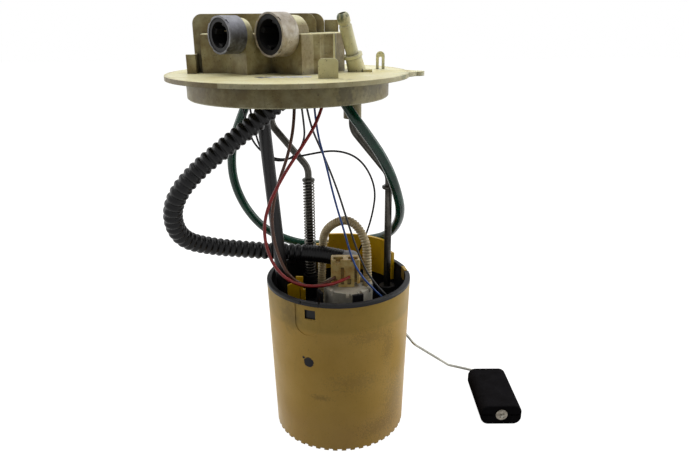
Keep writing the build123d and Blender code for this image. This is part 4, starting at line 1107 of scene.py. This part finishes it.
@dataclass
class Head(Assembly):
    """Flange with its sockets, and what hangs under it."""

    looks: dict[str, Look] = field(default_factory=lambda: {
        "flange": Look.FLANGE,
        "connector_ring_left": Look.RING_GREY, "connector_ring_right": Look.RING_CLEAR,
        "connector_insert_left": Look.FILLED, "connector_insert_right": Look.FILLED,
        "connector_pins_left": Look.BRASS, "connector_pins_right": Look.BRASS,
        "header_plug_left": Look.BLACK, "header_plug_right": Look.BLACK, "supply_elbow": Look.BLACK,
        "guide_rod_left": Look.ROD, "guide_rod_right": Look.ROD, "rod_clip_left": Look.SPRING,
        "rod_clip_right": Look.SPRING, "drop_tube": Look.PIPE})
    disc_top: float = 252.9
    spring_foot: float = 99.6
    spring_top: float = 172.7
    label_at: tuple[float, float] = (-30.5, -36.5)
    label_size: tuple[float, float] = (33.0, 13.0)
    label_thick: float = 0.08
    label_lift: float = 0.06
    tear_low: float = -40.5
    tear_high: float = -33.0
    tear_left: float = -44.5

    def spring(self, frame: dict) -> bpy.types.Object:
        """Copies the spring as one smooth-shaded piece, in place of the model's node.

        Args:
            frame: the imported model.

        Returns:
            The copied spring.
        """
        wire = frame["nodes"]["suspension_spring"].data.copy()
        piece = bpy.data.objects.new("suspension_spring_coils", wire)
        bpy.context.scene.collection.objects.link(piece)
        fresh()
        piece.select_set(True)
        bpy.context.view_layer.objects.active = piece
        bpy.ops.object.mode_set(mode="EDIT")
        bpy.ops.mesh.select_all(action="SELECT")
        bpy.ops.mesh.remove_doubles(threshold=1e-6)
        bpy.ops.object.mode_set(mode="OBJECT")
        bpy.ops.object.shade_smooth_by_angle(angle=math.radians(60))
        piece.select_set(False)
        dress(piece, Look.SPRING)
        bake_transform(piece)
        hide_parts("suspension_spring")
        return piece

    def label_scrap(self) -> bpy.types.Object:
        """Lays the torn scrap of blank label on the disc before the tower.

        Returns:
            The scrap.
        """
        fresh()
        place = (self.label_at[0] * MM, self.label_at[1] * MM, (self.disc_top + self.label_lift) * MM)
        bpy.ops.mesh.primitive_grid_add(x_subdivisions=22, y_subdivisions=10, size=1.0, location=place)
        piece = bpy.context.object
        piece.scale = (self.label_size[0] * MM, self.label_size[1] * MM, 1.0)
        bpy.ops.object.transform_apply(location=True, rotation=True, scale=True)
        bpy.ops.object.mode_set(mode="EDIT")
        pick(piece, lambda centre, normal: self.torn(centre))
        bpy.ops.mesh.delete(type="FACE")
        bpy.ops.object.mode_set(mode="OBJECT")
        thick = piece.modifiers.new("paper", "SOLIDIFY")
        thick.thickness = self.label_thick * MM
        thick.offset = 1.0
        return settle("label_scrap", "head", Look.PAPER)

    def torn(self, centre: Vector) -> bool:
        """Says whether the label is torn away at a point.

        Its edges slant a little, and waves of 3.7, 2.0 and 2.7 mm make them ragged.

        Args:
            centre: the point, in metres.

        Returns:
            True where no paper is left.
        """
        x, y = centre.x / MM, centre.y / MM
        ragged = 1.6 * math.sin(1.7 * x) + 1.1 * math.sin(3.1 * x + 1.3)
        lower = self.tear_low + 0.10 * (x + 30) + ragged
        upper = self.tear_high + 0.06 * (x + 30) + 0.6 * ragged
        left = self.tear_left + 1.5 * math.sin(2.3 * y)
        return y < lower or y > upper or (x < left and y < self.label_at[1] + 0.5)

    def build(self, frame: dict) -> None:
        """Dresses the flange and what hangs under it, and builds the small pieces.

        Args:
            frame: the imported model.
        """
        super().build(frame)
        self.spring(frame)
        self.label_scrap()


@dataclass
class Reservoir(Assembly):
    """Cup, tray and what is fixed to them."""

    looks: dict[str, Look] = field(default_factory=lambda: {
        "reservoir_sleeve": Look.SLEEVE, "reservoir_cup": Look.BLACK, "carrier_tray": Look.BLACK,
        "valve_cage": Look.FILLED, "jet_pump": Look.FILLED, "sender_carrier": Look.YELLOW,
        "hose_clip": Look.YELLOW, "guide_bush_left": Look.FILLED, "guide_bush_right": Look.FILLED,
        "isolator_ring": Look.RUBBER, "inlet_strainer": Look.MESH, "inlet_valve": Look.RUBBER,
        "sender_plug": Look.BLACK})


@dataclass
class Pump(Assembly):
    """Electric pump in its tray."""

    looks: dict[str, Look] = field(default_factory=lambda: {
        "pump_case": Look.CASE, "pump_inlet_cover": Look.FILLED, "impeller_housing": Look.FILLED,
        "pump_impeller": Look.FILLED, "pump_shaft": Look.ROD, "pump_armature": Look.IRON,
        "pump_commutator": Look.COPPER, "pump_magnet_left": Look.FERRITE, "pump_magnet_right": Look.FERRITE,
        "pump_brush_left": Look.CARBON, "pump_brush_right": Look.CARBON, "pump_outlet_cap": Look.CAP,
        "pump_plug": Look.PLUG, "hose_elbow": Look.ELBOW})


@dataclass(frozen=True)
class Track:
    """A track printed round the arm's pivot, from one angle to another.

    Its middle radius and its width are in millimetres. Angles go from +X towards +Z, in degrees.
    """

    name: str
    radius: float
    width: float
    first: float
    last: float


@dataclass(frozen=True)
class Peg:
    """A heat-staked peg in a fixing hole at x and z, in millimetres."""

    name: str
    x: float
    z: float


@dataclass
class LevelSender(Assembly):
    """Sender body, arm and float.

    The arm's pivot is given by its x and z, and the card and the body's face by their y.
    """

    looks: dict[str, Look] = field(default_factory=lambda: {
        "sender_housing": Look.BLACK, "resistor_card": Look.CARD, "arm_hub": Look.HUB, "wiper": Look.BRASS,
        "arm_wire": Look.ARM, "float_body": Look.FLOAT, "float_cap": Look.WASHER})
    pivot: tuple[float, float] = (20.0, 60.0)
    card_y: float = 52.3
    print_lift: float = 0.02
    print_thick: float = 0.03
    tracks: tuple[Track, ...] = (Track("wiper_track", 17.0, 1.7, 33.0, 147.0),
                                 Track("return_track", 12.6, 1.1, 38.0, 142.0))
    face_y: float = 53.5
    peg_radius: float = 2.3
    peg_flatness: float = 0.38
    pegs: tuple[Peg, ...] = (Peg("sender_peg_low", 21.0, 40.0), Peg("sender_peg_high", 21.0, 88.5))

    def print_track(self, track: Track) -> bpy.types.Object:
        """Prints one resistor track on the card.

        Args:
            track: its sizes.

        Returns:
            The piece.
        """
        fresh()
        bpy.ops.mesh.primitive_grid_add(x_subdivisions=48, y_subdivisions=1, size=1.0, location=(0, 0, 0))
        piece = bpy.context.object
        for vertex in piece.data.vertices:
            turn = math.radians(track.first + (vertex.co.x + 0.5) * (track.last - track.first))
            r = track.radius + vertex.co.y * track.width
            vertex.co = Vector((self.pivot[0] + r * math.cos(turn), self.card_y + self.print_lift,
                                self.pivot[1] + r * math.sin(turn))) * MM
        thick = piece.modifiers.new("print", "SOLIDIFY")
        thick.thickness = self.print_thick * MM
        thick.offset = 0.0
        return settle(track.name, "reservoir", Look.TRACK)

    def stake(self, peg: Peg) -> bpy.types.Object:
        """Fills a fixing hole of the body with a peg's flattened head.

        Args:
            peg: its name and place.

        Returns:
            The piece.
        """
        fresh()
        bpy.ops.mesh.primitive_uv_sphere_add(segments=28, ring_count=14, radius=self.peg_radius * MM,
                                             location=(peg.x * MM, self.face_y * MM, peg.z * MM))
        piece = bpy.context.object
        piece.scale = (1.0, self.peg_flatness, 1.0)
        bpy.ops.object.transform_apply(location=True, rotation=True, scale=True)
        return settle(peg.name, "reservoir", Look.FILLED)

    def build(self, frame: dict) -> None:
        """Dresses the sender's parts and builds its small pieces.

        Args:
            frame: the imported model.
        """
        super().build(frame)
        for track in self.tracks:
            self.print_track(track)
        for peg in self.pegs:
            self.stake(peg)


@dataclass(frozen=True)
class SoftBox:
    """A rectangular lamp: its place, its width and height and what it faces in metres, and its watts."""

    name: str
    at: Point
    size: tuple[float, float]
    watts: float
    aim: Point = (0.0, 0.0, 0.15)


@dataclass
class Studio:
    """Camera at the photograph's view, pale floor and soft light.

    The eye is in millimetres, and the floor's side in metres.
    """

    eye: Point = (4.455, -399.6, 285.4)
    pitch_deg: float = 19.25
    roll: float = 0.007
    focal_px: float = 612.25
    width_px: float = 689.0
    sensor: float = 36.0
    fill: float = 0.20
    floor_side: float = 8.0
    floor_colour: str = "8A8986"
    floor_glow: float = 0.97
    boxes: tuple[SoftBox, ...] = (SoftBox("top_box", (0.0, 0.15, 1.5), (1.3, 1.3), 15.0),
                                  SoftBox("left_box", (-1.2, 0.25, 0.55), (0.7, 0.9), 4.5),
                                  SoftBox("right_box", (1.2, 0.25, 0.55), (0.7, 0.9), 6.0))

    def camera(self) -> bpy.types.Object:
        """Adds the camera.

        Returns:
            The camera object.
        """
        data = bpy.data.cameras.new("photograph_view")
        data.sensor_fit = "HORIZONTAL"
        data.sensor_width = self.sensor
        data.lens = self.focal_px / self.width_px * self.sensor
        data.clip_start = 0.01
        data.clip_end = 20.0
        data.dof.use_dof = False
        pitch = math.radians(self.pitch_deg)
        right, up = Vector((1, 0, 0)), Vector((0, math.sin(pitch), math.cos(pitch)))
        back = Vector((0, -math.cos(pitch), math.sin(pitch)))
        c, s = math.cos(self.roll), math.sin(self.roll)
        axes = Matrix((right * c - up * s, right * s + up * c, back)).transposed()
        camera = bpy.data.objects.new("photograph_view", data)
        camera.matrix_world = Matrix.Translation(Vector(self.eye) * MM) @ axes.to_4x4()
        bpy.context.scene.collection.objects.link(camera)
        bpy.context.scene.camera = camera
        return camera

    def lamp(self, box: SoftBox) -> bpy.types.Object:
        """Adds a soft box.

        Args:
            box: its sizes.

        Returns:
            The lamp.
        """
        data = bpy.data.lights.new(box.name, "AREA")
        data.shape = "RECTANGLE"
        data.size, data.size_y = box.size
        data.energy = box.watts
        lamp = bpy.data.objects.new(box.name, data)
        way = Vector(box.aim) - Vector(box.at)
        lamp.matrix_world = Matrix.Translation(box.at) @ way.to_track_quat("-Z", "Y").to_matrix().to_4x4()
        bpy.context.scene.collection.objects.link(lamp)
        return lamp

    def surround(self, tree: Tree) -> Socket:
        """Finds which rays see the white surround: the camera's, mirrored and let through.

        Args:
            tree: the node tree.

        Returns:
            A socket that is 1 for those rays.
        """
        ray = add_node(tree, "ShaderNodeLightPath").outputs
        either = add_node(tree, "ShaderNodeMath", {0: ray["Is Camera Ray"], 1: ray["Is Glossy Ray"]},
                          operation="MAXIMUM")
        every = add_node(tree, "ShaderNodeMath", {0: either.outputs[0], 1: ray["Is Transmission Ray"]},
                         operation="MAXIMUM")
        return every.outputs[0]

    def world(self) -> None:
        """Makes the soft surround: white to look at, plain as a light."""
        world = bpy.data.worlds.new("studio")
        world.use_nodes = True
        tree = world.node_tree
        tree.nodes.clear()
        level = add_node(tree, "ShaderNodeMapRange", {
            0: self.surround(tree), 1: 0.0, 2: 1.0, 3: self.fill, 4: 1.0})
        back = add_node(tree, "ShaderNodeBackground", {"Color": (1, 1, 1, 1), "Strength": level.outputs[0]})
        add_node(tree, "ShaderNodeOutputWorld", {"Surface": back.outputs[0]})
        bpy.context.scene.world = world

    def floor(self) -> None:
        """Lays the pale floor, which keeps the object's shadow."""
        fresh()
        bpy.ops.mesh.primitive_plane_add(size=self.floor_side, location=(0, 0, 0))
        floor = bpy.context.object
        floor.name = "floor"
        material = bpy.data.materials.new("Matt white paper floor")
        material.use_nodes = True
        tree = material.node_tree
        tree.nodes.clear()
        dull = add_node(tree, "ShaderNodeBsdfDiffuse", {"Color": linear(self.floor_colour)})
        glow = add_node(tree, "ShaderNodeEmission", {"Color": (1, 1, 1, 1), "Strength": self.floor_glow})
        bright = add_node(tree, "ShaderNodeAddShader", {0: dull.outputs[0], 1: glow.outputs[0]})
        mix = add_node(tree, "ShaderNodeMixShader", {
            0: self.surround(tree), 1: dull.outputs[0], 2: bright.outputs[0]})
        add_node(tree, "ShaderNodeOutputMaterial", {"Surface": mix.outputs[0]})
        floor.data.materials.append(material)
        floor.select_set(False)

    def build(self) -> None:
        """Sets up camera, light and floor."""
        scene = bpy.context.scene
        scene.view_settings.view_transform = "Standard"
        self.camera()
        self.world()
        self.floor()
        for box in self.boxes:
            self.lamp(box)


def main() -> None:
    """Builds the classes in order."""
    logging.basicConfig(level=logging.INFO, format="%(name)s: %(message)s")
    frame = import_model()
    Studio().build()
    for part in (Head(), Reservoir(), Pump(), LevelSender()):
        part.build(frame)
        LOG.info("built %s", type(part).__name__)
    Harness().build()


if __name__ == "__main__":
    main()
